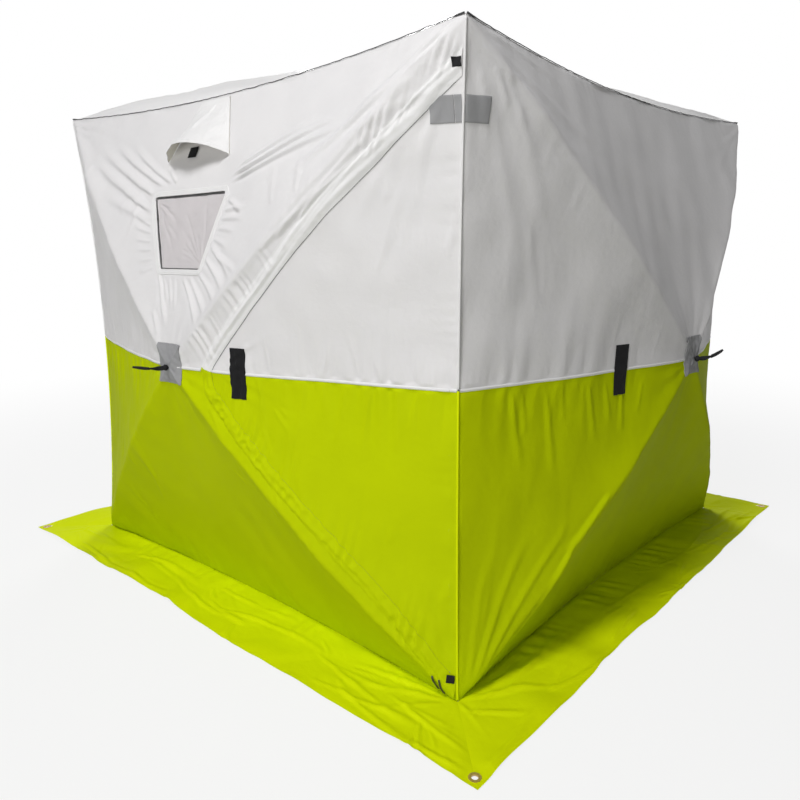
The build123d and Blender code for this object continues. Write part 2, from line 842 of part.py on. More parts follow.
with BuildPart() as corner_piping_lower:
    for turn in (0, 90, 180, 270):
        add(corner_welt(skirt_lift + cloth + bead_end, hub_height), rotation=(0, 0, turn))
corner_piping_lower.part.label = "corner_piping_lower"

with BuildPart() as eaves_strip:
    with BuildLine() as eaves_line:
        end_x = half_side - bead_end
        out = (binding_thick / 2 + seat_gap) / sqrt(2)
        end_sag = eaves_sag * (1 - (end_x / half_side) ** 2)
        ThreePointArc(
            (-end_x, -half_side + end_sag - out, height - end_sag + out),
            (0, -half_side + eaves_sag - out, height - eaves_sag + out),
            (end_x, -half_side + end_sag - out, height - end_sag + out),
        )
    with BuildSketch(Plane(origin=eaves_line.line @ 0, x_dir=(0, 1, 1), z_dir=eaves_line.line % 0)):
        Rectangle(binding_width, binding_thick)
    sweep(path=eaves_line.line)

with BuildPart() as eaves_binding:
    for turn in (0, 90, 180, 270):
        add(eaves_strip.part, rotation=(0, 0, turn))
eaves_binding.part.label = "eaves_binding"


# ---- Skirt and eyelets -------------------------------------------------------------------

skirt_outer = half_side + skirt_width
skirt_inner = half_side + skirt_seam_gap
eyelet_place = skirt_outer - eyelet_inset

with BuildPart() as skirt_side:
    with BuildSketch(Plane.XY.offset(skirt_lift)):
        with BuildLine():
            Polyline(
                (-skirt_inner, -skirt_inner), (-skirt_outer, -skirt_outer),
                (skirt_outer, -skirt_outer), (skirt_inner, -skirt_inner),
            )
            ThreePointArc(
                (skirt_inner, -skirt_inner), (0, -skirt_inner + base_sag), (-skirt_inner, -skirt_inner)
            )
        make_face()
        with Locations((-eyelet_place, -eyelet_place), (eyelet_place, -eyelet_place)):
            Circle(eyelet_bore + eyelet_barrel + seat_gap, mode=Mode.SUBTRACT)
    extrude(amount=cloth)

skirts = []
for side, turn in {"front": 0, **sides}.items():
    placed = skirt_side.part.rotate(Axis.Z, turn)
    placed.label = f"{side}_skirt"
    skirts.append(placed)

with BuildPart() as eyelet:
    with BuildSketch(Plane.XZ):
        with BuildLine():
            barrel = eyelet_bore + eyelet_barrel
            flange_top = skirt_lift + cloth + eyelet_flange_thick
            Polyline(
                (eyelet_bore, 0), (eyelet_flange, 0), (eyelet_flange, skirt_lift), (barrel, skirt_lift),
                (barrel, skirt_lift + cloth), (eyelet_flange, skirt_lift + cloth),
                (eyelet_flange, flange_top), (eyelet_bore, flange_top), close=True,
            )
        make_face()
    revolve(axis=Axis.Z)

with BuildPart() as skirt_eyelets:
    with Locations([(x * eyelet_place, y * eyelet_place, 0) for x in (-1, 1) for y in (-1, 1)]):
        add(eyelet.part)
skirt_eyelets.part.label = "skirt_eyelets"


# ---- Files -------------------------------------------------------------------------------

built = [
    front_wall_upper, front_wall_lower, corner_strip_upper, corner_strip_lower, zip_tape,
    storm_flap_upper, storm_flap_lower, door_upper, door_lower, door_zip_tape, door_strap,
    door_corner_patch, window_border, window_film, window_cover, vent_mesh, vent_hood, vent_stay,
    roof_panel, front_rods, right_rods, back_rods, left_rods, roof_rods, wall_hubs, roof_hub,
    top_sockets, foot_sockets, wall_hub_patches, roof_hub_patch, wall_pull_straps, roof_pull_strap,
    wall_strap, corner_patch, zip_end_tabs, zip_pulls, corner_piping_upper, corner_piping_lower,
    eaves_binding, skirt_eyelets,
]
for piece in [builder.part for builder in built] + plain_walls + skirts:
    export_step(piece, f"parts/{piece.label}.step")
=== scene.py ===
import math
import bpy
import numpy as np
from mathutils import Matrix, Vector


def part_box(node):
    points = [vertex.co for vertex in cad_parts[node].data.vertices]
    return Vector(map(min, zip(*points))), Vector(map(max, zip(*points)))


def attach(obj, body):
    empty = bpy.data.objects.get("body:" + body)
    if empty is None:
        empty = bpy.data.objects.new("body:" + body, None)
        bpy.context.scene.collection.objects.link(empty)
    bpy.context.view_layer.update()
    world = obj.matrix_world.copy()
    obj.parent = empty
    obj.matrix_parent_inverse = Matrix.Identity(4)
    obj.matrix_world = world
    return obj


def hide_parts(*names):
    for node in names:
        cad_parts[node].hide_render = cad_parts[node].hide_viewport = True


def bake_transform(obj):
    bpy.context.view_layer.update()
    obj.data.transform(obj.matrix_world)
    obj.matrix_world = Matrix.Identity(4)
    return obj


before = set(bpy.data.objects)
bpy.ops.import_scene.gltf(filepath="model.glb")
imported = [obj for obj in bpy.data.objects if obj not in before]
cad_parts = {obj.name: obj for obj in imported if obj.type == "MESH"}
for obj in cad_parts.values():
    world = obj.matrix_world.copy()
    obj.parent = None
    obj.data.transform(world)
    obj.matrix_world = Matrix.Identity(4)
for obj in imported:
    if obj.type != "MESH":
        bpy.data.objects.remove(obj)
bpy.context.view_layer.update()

# ---- Sizes, read from the CAD nodes ----

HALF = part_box("roof_panel")[1][0]  # half the side of the base and the eaves
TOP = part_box("back_wall_upper")[1][2]  # corners of the eaves
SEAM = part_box("back_wall_upper")[0][2]  # colour seam, at the height of the hubs
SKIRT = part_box("front_skirt")[1][0]
SKIRT_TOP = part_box("front_skirt")[1][2]
EYELET_AT = SKIRT - 0.026
BULGE = 0.212  # hub point over its corner plane
SIDE_SAG, EAVES_SAG, BASE_SAG = 0.033, 0.033, 0.040
ROD_BOW, FACET_BOW = 0.040, 0.018
UPPER = TOP - SEAM
STRIP = 0.018  # cloth between the corner seam and the door
STRIP_FOOT, STRIP_HEAD = 0.050, TOP - 0.110
FLAP = 0.042
ZIP_FOOT, ZIP_HEAD = 0.070, TOP - 0.129
ZIP_STEP = 0.004  # between the points of the zip line
TOOTH_PITCH = 0.0034
TURN = np.array([0.17 * HALF, SEAM - 0.015])
TURN_RADIUS = 0.057
CORNER_PATCH = 1.42  # height of the grey patch on the near corner
QUARTER = [(1, 0), (0, 1), (-1, 0), (0, -1)]  # cosine and sine of each wall's turn
SIDES = ["front", "right", "back", "left"]
CORNERS = ((-1, -1), (1, -1), (1, 1), (-1, 1))
ROUND = 2 * math.pi
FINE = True


# ---- Shape of the cloth ----

def facet(along, hub, edge, sag):
    """Height of a facet at a share of the way from its hub to its edge, with the cloth's own bow."""
    bow = ROD_BOW + (FACET_BOW - ROD_BOW) * sag
    return (1 - along) * hub + along * edge + 4 * along * (1 - along) * bow


def wall_facets(x, z):
    """How far out a wall stands at x across and z up, from the middle of the hut."""
    x, z = np.asarray(x, float), np.asarray(z, float)
    across = np.abs(x)
    over = z - SEAM
    hub = HALF + BULGE
    level = (over > 0) & (over / UPPER >= across / HALF)
    under = (over <= 0) & (-over / SEAM >= across / HALF)
    sag = np.ones_like(x)
    for _ in range(7):
        along = np.maximum(over / (UPPER - EAVES_SAG * sag), 1e-4)
        sag = 1 - (x / (HALF * along)) ** 2
    high = facet(along, hub, HALF - sag * EAVES_SAG, sag)
    along = np.maximum(-over / SEAM, 1e-4)
    sag = 1 - (x / (HALF * along)) ** 2
    low = facet(along, hub, HALF - sag * BASE_SAG, sag)
    sag = np.ones_like(x)
    for _ in range(7):
        along = np.maximum(across / (HALF - SIDE_SAG * sag), 1e-4)
        up = (z - (1 - along) * SEAM) / (along * TOP)
        sag = 4 * up * (1 - up)
    beside = facet(along, hub, HALF - sag * SIDE_SAG, sag)
    return np.where(level, high, np.where(under, low, beside))


def roof_facets(x, y):
    """How high the roof stands at x and y."""
    x, y = np.asarray(x, float), np.asarray(y, float)
    far = np.maximum(np.abs(x), np.abs(y))
    near = np.minimum(np.abs(x), np.abs(y))
    sag = np.ones_like(x)
    for _ in range(7):
        along = np.maximum(far / (HALF - EAVES_SAG * sag), 1e-4)
        sag = 1 - (near / (HALF * along)) ** 2
    return facet(along, TOP + BULGE, TOP - EAVES_SAG * sag, sag)


def softened(shape, a, b, middle=0.0):
    """The facets with their ridges rounded over the rods, and more over the hub at height middle."""
    reach = 0.007 + 0.008 * (1 - smooth(np.hypot(a, b - middle), 0.02, 0.06))
    total, weight = 0.0, 0.0
    for da in (-1, 0, 1):
        for db in (-1, 0, 1):
            part = (2 - abs(da)) * (2 - abs(db))
            total += part * shape(a + da * reach, b + db * reach)
            weight += part
    return total / weight


def corner_reach(z):
    """How far the standing seams are from the middle, at a height."""
    share = np.asarray(z) / TOP
    return HALF - 4 * share * (1 - share) * SIDE_SAG


def eaves_height(x):
    return TOP - EAVES_SAG * (1 - (np.asarray(x) / HALF) ** 2)


def eaves_reach(x):
    return HALF - EAVES_SAG * (1 - (np.asarray(x) / HALF) ** 2)


def smooth(value, low, high):
    """Soft step from 0 at low to 1 at high."""
    t = np.clip((value - low) / (high - low), 0, 1)
    return t * t * (3 - 2 * t)


def dent(value, centre, width):
    """Bell of height 1 round a centre."""
    return np.exp(-((value - centre) / width) ** 2)


def turned(wall, x, out, z):
    """Points x across and out from the middle of the hut, turned to a wall."""
    cos, sin = QUARTER[wall]
    return np.stack([cos * x + sin * out, sin * x - cos * out, z + 0 * x], -1)


def unit(vectors):
    return vectors / np.linalg.norm(vectors, axis=1)[:, None]


def right_of(ways):
    """Unit normals on the right-hand side of directions in x and z."""
    ways = unit(ways)
    return np.stack([ways[:, 1], -ways[:, 0]], 1)


def ripple(a, b, scale, seed):
    """Smooth random field of about unit height, with bumps about as long as scale."""
    count = 16
    rng = np.random.default_rng(seed)
    total = 0.0
    for _ in range(count):
        angle, phase = rng.uniform(0, math.pi), rng.uniform(0, ROUND)
        rate = ROUND / scale * rng.uniform(0.6, 1.6)
        total += np.sin(rate * (a * math.cos(angle) + b * math.sin(angle)) + phase)
    return total * math.sqrt(2 / count)


def beside_line(a, b, start, end):
    """Distance along the line from start to end times its length, distance off it, and its length."""
    (ax, ab), (bx, bb) = start, end
    dx, dz = bx - ax, bb - ab
    length = math.hypot(dx, dz)
    return (a - ax) * dx + (b - ab) * dz, ((a - ax) * dz - (b - ab) * dx) / length, length


def crease(a, b, start, end, width, height, bend, hold):
    """Soft fold from start to end, that fades towards its end, with a hollow on each side."""
    along, off, length = beside_line(a, b, start, end)
    along = along / length ** 2
    off = off + bend * length * 4 * along * (1 - along)
    near = (along > -0.02) & (along < 1) & (np.abs(off) < 8 * width)
    share = along[near]
    spread = (off[near] / (width * (0.55 + 0.9 * np.clip(share, 0, 1)))) ** 2
    fade = smooth(share, -0.02, 0.12) * (1 - smooth(share, hold, 1.0))
    total = np.zeros_like(off)
    total[near] = height * fade * (np.exp(-spread) - 0.42 * np.exp(-spread / 5))
    return total


def varied(a, b, rng, start, end, width, height, ranges):
    """Crease with its width, height, bend and hold drawn from four ranges."""
    wide, tall, bend, hold = [rng.uniform(*limits) for limits in ranges]
    return crease(a, b, start, end, width * wide, height * tall, bend, hold)


def fan(a, b, centre, angles, lengths, count, width, height, seed, start=0.015):
    """Folds that radiate from a point where the cloth is pulled."""
    rng = np.random.default_rng(seed)
    total = 0.0
    for k in range(count):
        angle = math.radians(angles[0] + (angles[1] - angles[0]) * (k + rng.uniform(0.2, 0.8)) / count)
        length = rng.uniform(*lengths)
        first = (centre[0] + start * math.cos(angle), centre[1] + start * math.sin(angle))
        last = (centre[0] + length * math.cos(angle), centre[1] + length * math.sin(angle))
        ranges = ((0.7, 1.3), (0.5, 1.2), (-0.05, 0.05), (0.2, 0.6))
        total += varied(a, b, rng, first, last, width, height, ranges)
    return total


def gathers(a, b, start, end, reach, height, pitch, seed, lean=0.0):
    """Short pleats across a sewn line or a rod, from start to end."""
    along, off, length = beside_line(a, b, start, end)
    along = along / length
    rng = np.random.default_rng(seed)
    phase = along + lean * off
    wander = sum(
        rng.uniform(0.5, 1) * np.sin(ROUND * phase / (pitch * m) + rng.uniform(0, 6.3))
        for m in (3.1, 5.3, 9.7)
    )
    wave = np.sin(ROUND * phase / pitch + 1.3 * wander)
    strength = 0.55 + 0.45 * np.sin(ROUND * along / (pitch * 7.3) + rng.uniform(0, 6.3))
    ends = smooth(along, 0.0, 0.05) * (1 - smooth(along, length - 0.05, length))
    return height * wave * strength * ends * np.exp(-np.abs(off) / reach)


# ---- The zip line ----

def zip_curve():
    """Zip line from its upper end to its foot, in x and z, with the rounded turn."""

    def line(height, swell):
        end = np.array([corner_reach(height) - STRIP, height])
        t = np.linspace(0, 1, 400)[:, None]
        third = (end - TURN) / 3
        first = TURN + third + np.array([0, swell[0]])
        second = TURN + 2 * third + np.array([0, swell[1]])
        middle = 3 * (1 - t) ** 2 * t * first
        return (1 - t) ** 3 * TURN + middle + 3 * (1 - t) * t ** 2 * second + t ** 3 * end

    upper, lower = line(ZIP_HEAD, (0.058, 0.015)), line(ZIP_FOOT, (-0.055, 0.068))
    above = upper + right_of(np.gradient(upper, axis=0)) * TURN_RADIUS
    below = lower - right_of(np.gradient(lower, axis=0)) * TURN_RADIUS
    gap = np.linalg.norm(above[:, None] - below[None], axis=2)
    i, j = np.unravel_index(np.argmin(gap), gap.shape)
    centre = (above[i] + below[j]) / 2
    first = math.atan2(*(upper[i] - centre)[::-1])
    last = math.atan2(*(lower[j] - centre)[::-1])
    if last < first:
        last += ROUND
    angles = np.linspace(first, last, 60)[1:-1]
    turn = centre + TURN_RADIUS * np.stack([np.cos(angles), np.sin(angles)], 1)
    points = np.concatenate([upper[i:][::-1], turn, lower[j:]])
    return evenly(points, ZIP_STEP)


def evenly(points, step):
    """The same line with its points spaced evenly."""
    points = np.asarray(points, float)
    run = np.concatenate([[0], np.cumsum(np.linalg.norm(np.diff(points, axis=0), axis=1))])
    count = max(2, int(round(run[-1] / step)) + 1)
    at = np.linspace(0, run[-1], count)
    return np.stack([np.interp(at, run, points[:, k]) for k in range(points.shape[1])], 1)


def from_door(line):
    """Unit normals of part of the zip line, that point away from the door."""
    normal = right_of(np.gradient(line, axis=0))
    return -normal if normal[len(line) // 2][0] > 0 else normal


ZIP = zip_curve()
ZIP_OUT = from_door(ZIP)


def zip_outline(offset):
    """Closed outline of all on the door's side of the zip, grown by offset."""
    line = ZIP + ZIP_OUT * offset
    far = 2.0
    first = line[0] + (line[0] - line[12]) * 40
    last = line[-1] + (line[-1] - line[-13]) * 40
    return np.concatenate([[[far, first[1]]], [first], line, [last], [[far, last[1]]]])


def trapezoid(foot_left, foot_right, foot, top_left, top_right, top):
    """Closed outline with rounded corners, as an even line of points."""
    rounding = 0.008
    corners = [(foot_left, foot), (foot_right, foot), (top_right, top), (top_left, top)]
    points = []
    for k in range(4):
        a, b, c = (np.array(corners[(k + m) % 4], float) for m in (-1, 0, 1))
        u, v = (b - a) / np.linalg.norm(b - a), (c - b) / np.linalg.norm(c - b)
        nu, nv = np.array([u[1], -u[0]]), np.array([v[1], -v[0]])
        middle = b - (nu + nv) * rounding / (1 + nu.dot(nv))
        first, last = math.atan2(nu[1], nu[0]), math.atan2(nv[1], nv[0])
        if last < first:
            last += ROUND
        for angle in np.linspace(first, last, 7):
            points.append(middle + rounding * np.array([math.cos(angle), math.sin(angle)]))
    points = np.array(points)
    return evenly(np.concatenate([points, points[:1]]), 0.003)[:-1]


WINDOW = (-0.116, 0.085, SEAM + 0.342 * UPPER, -0.225, 0.142, SEAM + 0.609 * UPPER)


# ---- Folds of each wall ----

def hanging(x, z, low, high, count, lengths, width, height, seed, down=True):
    """Soft upright folds that start at the colour seam between two places."""
    rng = np.random.default_rng(seed)
    total = 0.0
    for k in range(count):
        px = low + (high - low) * (k + rng.uniform(0.1, 0.9)) / count
        reach = rng.uniform(*lengths) * (-1 if down else 1)
        start, end = (px, SEAM + 0.012 * np.sign(reach)), (px + rng.uniform(-0.035, 0.035), SEAM + reach)
        ranges = ((0.6, 1.3), (0.4, 1.1), (-0.03, 0.03), (0.1, 0.5))
        total += varied(x, z, rng, start, end, width, height, ranges)
    return total


def scattered(x, z, region, count, lengths, angles, width, height, seed):
    """Separate soft creases in a region of low x, high x, low z and high z."""
    rng = np.random.default_rng(seed)
    total = 0.0
    for _ in range(count):
        px, pz = rng.uniform(*sorted(region[:2])), rng.uniform(*region[2:])
        angle, length = math.radians(rng.uniform(*angles)), rng.uniform(*lengths)
        end = (px + length * math.cos(angle), pz + length * math.sin(angle))
        ranges = ((0.6, 1.3), (0.4, 1.0), (-0.08, 0.08), (0.3, 0.6))
        total += varied(x, z, rng, (px, pz), end, width, height, ranges)
    return total


def seam_puckers(x, z, seed):
    """Puckers of the colour seam, stronger towards the corners."""
    toward = smooth(np.abs(x), 0.15, 0.85)
    off = np.abs(z - SEAM)
    wave = np.sin(ROUND * x / 0.024 + 2.6 * ripple(x, z * 0.3, 0.16, seed))
    slow = np.sin(ROUND * x / 0.060 + 2.4 * ripple(x, z * 0.2, 0.3, seed + 1))
    reach = 0.6 + 0.4 * ripple(x, 0 * z, 0.12, seed + 4)
    fine = wave * np.exp(-off / 0.024) * 0.0011 * np.clip(reach, 0.1, 1.4)
    broad = slow * np.exp(-off / 0.085) * 0.0019
    return (fine + broad) * (0.35 + 0.9 * toward) * smooth(off, 0.003, 0.013)


def corner_puckers(x, z, seed):
    """Short level puckers along the standing seams."""
    total = 0.0
    for side in (-1, 1):
        off = corner_reach(z) - side * x
        wave = np.sin(ROUND * z / 0.042 + 2.4 * ripple(z, off * 0.3, 0.2, seed + side))
        slow = np.sin(ROUND * z / 0.13 + 2.0 * ripple(z, off * 0.2, 0.5, seed + 7 + side))
        total += wave * np.exp(-np.abs(off) / 0.030) * 0.0009
        total += slow * np.exp(-np.abs(off) / 0.10) * 0.0016
    return total


def rod_gathers(x, z, seed):
    """Pleats where the cloth is stretched over the rods."""
    total = 0.0
    for k, (ex, ez) in enumerate(((-HALF, TOP), (HALF, TOP), (-HALF, 0), (HALF, 0))):
        start, end = (0.02 * ex, SEAM + 0.02 * (ez - SEAM)), (ex, ez)
        total += gathers(x, z, start, end, 0.030, 0.0010, 0.036, seed + k, lean=0.5)
        total += gathers(x, z, start, end, 0.075, 0.0013, 0.094, seed + 10 + k, lean=-0.4)
    return total


def hub_pull(x, z, seed):
    """Tension folds that run out of a hub."""
    reach = np.hypot(x, z - SEAM)
    angle = np.arctan2(z - SEAM, x)
    wave = np.sin(13 * angle + 1.5 * np.sin(3 * angle + seed)) + 0.6 * np.sin(21 * angle + seed * 1.7)
    return 0.0014 * wave * smooth(reach, 0.03, 0.10) * np.exp(-reach / 0.16)


def edge_fade(x, z):
    """Zero at the standing seams, the eaves and the foot."""
    reach = 0.012
    side = corner_reach(z) - np.abs(x)
    over = eaves_height(x) - z
    return smooth(side, 0.0, reach) * smooth(over, 0.0, reach) * smooth(z, 0.0, reach)


def common_folds(x, z, seed, slack):
    """Folds that every wall has. slack is how much of the short ones it has."""
    total = 0.0020 * ripple(x, z, 0.42, seed) + 0.0007 * ripple(x, z, 0.16, seed + 1)
    total += (0.5 + 0.6 * slack) * seam_puckers(x, z, seed + 2)
    total += 0.4 * slack * corner_puckers(x, z, seed + 3)
    total += 0.3 * slack * rod_gathers(x, z, seed + 20) + hub_pull(x, z, seed % 5)
    for side in (-1, 1):
        top_angles = (188, 258) if side > 0 else (282, 352)
        foot_angles = (100, 170) if side > 0 else (10, 80)
        near, far, corner = side * 0.20, side * 0.86, side * 0.885
        own = seed + side
        total += fan(x, z, (corner, TOP - 0.02), top_angles, (0.25, 0.75), 7, 0.016, 0.0034, own + 40)
        total += fan(x, z, (corner, 0.02), foot_angles, (0.15, 0.55), 7, 0.013, 0.0028, own + 50)
        total += slack * hanging(x, z, near, far, 11, (0.08, 0.26), 0.010, 0.0028, own + 70)
        total += slack * hanging(x, z, near, far, 10, (0.06, 0.18), 0.009, 0.0022, own + 80, False)
        for low, high in ((0.1, 0.6), (1.0, 1.4)):
            region = (side * 0.3, side * 0.85, low, high)
            upright = scattered(x, z, region, 8, (0.10, 0.30), (65, 115), 0.014, 0.0020, own + 90)
            total += slack * upright
    foot = gathers(x, z, (-HALF, 0.004), (HALF, 0.004), 0.045, 0.0016, 0.052, seed + 60)
    eaves = gathers(x, z, (-HALF, TOP - 0.02), (HALF, TOP - 0.02), 0.035, 0.0008, 0.047, seed + 61)
    return total + foot + eaves


# Folds seen in the photo: where each starts and ends in x and z, its width and height.
WINDOW_FOLDS = [
    # from the window's left side up to the hut's corner
    (-0.215, 1.290, -0.66, 1.495, 0.014, 0.0085), (-0.190, 1.320, -0.56, 1.49, 0.012, 0.0075),
    (-0.150, 1.325, -0.44, 1.47, 0.011, 0.0065), (-0.125, 1.325, -0.19, 1.37, 0.008, 0.0040),
    (-0.225, 1.245, -0.70, 1.47, 0.015, 0.0085), (-0.215, 1.215, -0.56, 1.33, 0.014, 0.0050),
    (-0.860, 1.570, -0.40, 1.17, 0.022, 0.0075), (-0.870, 1.560, -0.52, 1.22, 0.020, 0.0060),
    (-0.870, 1.575, -0.75, 1.55, 0.008, 0.0036), (-0.860, 1.565, -0.72, 1.51, 0.008, 0.0036),
    # short gathers on the left and the right of the window
    (-0.205, 1.200, -0.31, 1.240, 0.007, 0.0036), (-0.195, 1.178, -0.30, 1.205, 0.006, 0.0032),
    (-0.185, 1.152, -0.28, 1.165, 0.006, 0.0032), (-0.175, 1.128, -0.26, 1.130, 0.006, 0.0028),
    (-0.160, 1.100, -0.24, 1.095, 0.006, 0.0026), (-0.146, 1.075, -0.22, 1.060, 0.006, 0.0024),
    (0.160, 1.262, 0.26, 1.215, 0.008, 0.0050), (0.152, 1.232, 0.28, 1.238, 0.007, 0.0044),
    (0.145, 1.208, 0.27, 1.208, 0.007, 0.0040), (0.138, 1.182, 0.24, 1.175, 0.007, 0.0036),
    (0.130, 1.155, 0.22, 1.130, 0.007, 0.0034),
    # from the window's upper right corner along the rod
    (0.155, 1.308, 0.68, 1.425, 0.009, 0.0085), (0.150, 1.325, 0.62, 1.445, 0.009, 0.0085),
    (0.170, 1.345, 0.52, 1.450, 0.009, 0.0070), (0.860, 1.560, 0.36, 1.270, 0.012, 0.0090),
    (0.870, 1.590, 0.58, 1.400, 0.011, 0.0095), (0.870, 1.570, 0.66, 1.410, 0.008, 0.0070),
    # from the window's foot down to the hub and the rod
    (0.105, 1.105, 0.26, 1.005, 0.009, 0.0065), (0.125, 1.135, 0.29, 1.035, 0.009, 0.0060),
    (0.080, 1.065, 0.23, 0.975, 0.008, 0.0060), (0.045, 1.045, 0.18, 0.935, 0.009, 0.0065),
    (0.010, 1.045, 0.14, 0.900, 0.008, 0.0050), (0.170, 1.110, 0.31, 1.055, 0.008, 0.0050),
    (-0.120, 1.060, -0.035, 0.890, 0.008, 0.0060), (-0.090, 1.045, -0.05, 0.960, 0.006, 0.0034),
    (-0.060, 1.045, -0.03, 0.960, 0.006, 0.0034), (-0.030, 1.045, -0.01, 0.950, 0.006, 0.0034),
    (-0.110, 0.950, -0.055, 0.850, 0.009, 0.0040),
]
DOOR_BAND_FOLDS = [
    (0.430, 1.150, 0.61, 1.300, 0.008, 0.0046), (0.500, 1.195, 0.68, 1.350, 0.008, 0.0046),
    (0.560, 1.265, 0.72, 1.400, 0.007, 0.0040), (0.380, 1.120, 0.52, 1.230, 0.007, 0.0036),
]
RIGHT_FOLDS = [
    # at the top near corner, and long soft ones
    (-0.860, 1.545, -0.775, 1.470, 0.008, 0.0050), (-0.825, 1.510, -0.785, 1.410, 0.006, 0.0034),
    (-0.800, 1.500, -0.740, 1.380, 0.009, 0.0030), (-0.860, 1.500, -0.820, 1.300, 0.012, 0.0022),
    (-0.770, 1.440, -0.660, 1.180, 0.018, 0.0026), (-0.700, 1.180, -0.650, 0.930, 0.018, 0.0024),
    # beside the rod that runs to the near foot
    (-0.400, 0.460, -0.58, 0.315, 0.008, 0.0100), (-0.540, 0.345, -0.76, 0.080, 0.009, 0.0120),
    (-0.300, 0.500, -0.72, 0.150, 0.010, 0.0050), (-0.860, 0.030, -0.52, 0.440, 0.010, 0.0050),
    (-0.860, 0.040, -0.66, 0.420, 0.010, 0.0046), (-0.870, 0.040, -0.78, 0.380, 0.009, 0.0040),
    # hanging below the colour seam
    (-0.720, 0.775, -0.690, 0.560, 0.010, 0.0040), (-0.685, 0.770, -0.675, 0.640, 0.008, 0.0034),
    (-0.610, 0.770, -0.585, 0.520, 0.010, 0.0042), (-0.560, 0.770, -0.550, 0.660, 0.008, 0.0030),
    (-0.470, 0.770, -0.440, 0.590, 0.010, 0.0040), (-0.400, 0.765, -0.385, 0.640, 0.009, 0.0034),
    (-0.330, 0.760, -0.345, 0.600, 0.009, 0.0036), (-0.250, 0.755, -0.280, 0.650, 0.008, 0.0030),
]


def drawn(x, z, lines, hold=0.55):
    """The folds of a list."""
    total = 0.0
    for first_x, first_z, last_x, last_z, width, height in lines:
        total += crease(x, z, (first_x, first_z), (last_x, last_z), width, height, 0.02, hold)
    return total


def band_folds(x, z):
    """Pleats of the white cloth between the rod and the sewn edge of the zip's flap."""
    total = gathers(x, z, (0.06, 0.850), (0.40, 1.152), 0.08, 0.0044, 0.025, 302, 0.25)
    total += gathers(x, z, (0.62, 1.351), (0.88, 1.583), 0.08, 0.0046, 0.034, 308, 1.9)
    return total + 1.6 * drawn(x, z, DOOR_BAND_FOLDS)


def door_folds(x, z):
    """Folds of the cloth beside the zip and its flaps."""
    total = gathers(x, z, (0.19, 0.76), (0.86, 0.10), 0.050, 0.0030, 0.041, 303, lean=-0.8)
    total += gathers(x, z, (0.17, 0.76), (0.42, 0.50), 0.030, 0.0036, 0.024, 304, lean=-0.6)
    region = (0.14, 0.40, 0.50, 0.74)
    total += scattered(x, z, region, 12, (0.04, 0.12), (-70, -30), 0.007, 0.0038, 309)
    total += fan(x, z, (0.86, 1.47), (200, 262), (0.25, 0.60), 6, 0.016, 0.0030, 305)
    total += fan(x, z, (0.86, 0.08), (98, 160), (0.2, 0.5), 6, 0.016, 0.0034, 306)
    return total + fan(x, z, (0.20, 0.80), (-40, 40), (0.10, 0.30), 6, 0.011, 0.0026, 307)


def folds(wall, x, z):
    """All the folds of a wall at x and z, positive outward, in metres."""
    seed = (11, 23, 37, 53)[wall]
    total = common_folds(x, z, seed, (1.9, 0.55, 0.8, 0.8)[wall])
    tall = np.where(z > SEAM, UPPER, SEAM)
    aside = (np.abs(x) * tall - np.abs(z - SEAM) * HALF) / np.hypot(HALF, tall)
    if wall == 0:
        foot_left, foot_right, foot, top_left, top_right, top = WINDOW
        share = np.clip((z - foot) / (top - foot), 0, 1)
        left = foot_left + share * (top_left - foot_left)
        right = foot_right + share * (top_right - foot_right)
        away = np.maximum(np.maximum(left - x, x - right), np.maximum(foot - z, z - top))
        band = 0.045 + 0.055 * (1 - smooth(x, 0.12, 0.30))
        beside = smooth(aside, 0.0, 0.010) * (1 - smooth(aside, band, band + 0.02)) * (z > SEAM)
        total += 1.7 * drawn(x, z, WINDOW_FOLDS) * smooth(-aside, -0.004, 0.012) * (z > SEAM)
        total += band_folds(x, z) * beside * (x > 0) + door_folds(x, z)
        beyond = np.maximum(np.maximum(-0.196 - x, x - 0.114), SEAM + 0.737 * UPPER - z)
        total = total * (0.10 + 0.90 * smooth(away, 0.008, 0.024)) * (0.25 + 0.75 * smooth(beyond, 0.0, 0.03))
    if wall == 1:
        total += drawn(x, z, RIGHT_FOLDS, 0.7)
    patch = smooth(np.maximum(np.abs(x), np.abs(z - SEAM - 0.008)), 0.040, 0.080)
    total = total * edge_fade(x, z) * (0.15 + 0.85 * patch)
    return total + dent(aside, 0, 0.015) * np.maximum(0, -total - 0.0010)


def on_wall(wall, x, z, lift=0.0, folded=1.0):
    """Points on a wall, lift outside its cloth. Wall 0 is the front, then right, back and left."""
    x, z = np.asarray(x, float), np.asarray(z, float)
    out = softened(wall_facets, x, z, SEAM) + lift
    if folded:
        out = out + folded * folds(wall, x, z)
    return turned(wall, x, out, z)


def roof_folds(x, y):
    """All the folds of the roof, positive upward."""
    reach = np.maximum(np.abs(x), np.abs(y))
    total = 0.0024 * ripple(x, y, 0.45, 71) + 0.0009 * ripple(x, y, 0.17, 72)
    for k, (ex, ey) in enumerate(CORNERS):
        end = (ex * HALF, ey * HALF)
        total += gathers(x, y, (0, 0), end, 0.05, 0.0012, 0.07, 80 + k)
        angle = math.degrees(math.atan2(-ey, -ex))
        angles = (angle - 36, angle + 36)
        total += fan(x, y, (ex * 0.88, ey * 0.88), angles, (0.25, 0.7), 8, 0.017, 0.003, 90 + k)
    edge = HALF - EAVES_SAG - reach
    hub = np.hypot(x, y)
    angle = np.arctan2(y, x)
    total += 0.0014 * np.sin(13 * angle) * smooth(hub, 0.03, 0.1) * np.exp(-hub / 0.16)
    return total * smooth(edge, -0.02, 0.03) * (0.15 + 0.85 * smooth(reach, 0.035, 0.075))


def on_roof(x, y, lift=0.0, folded=1.0):
    """Points on the roof, lift over its cloth."""
    out = softened(roof_facets, x, y) + lift + folded * roof_folds(x, y)
    return np.stack([x + 0 * out, y + 0 * out, out], -1)


# ---- Meshes ----

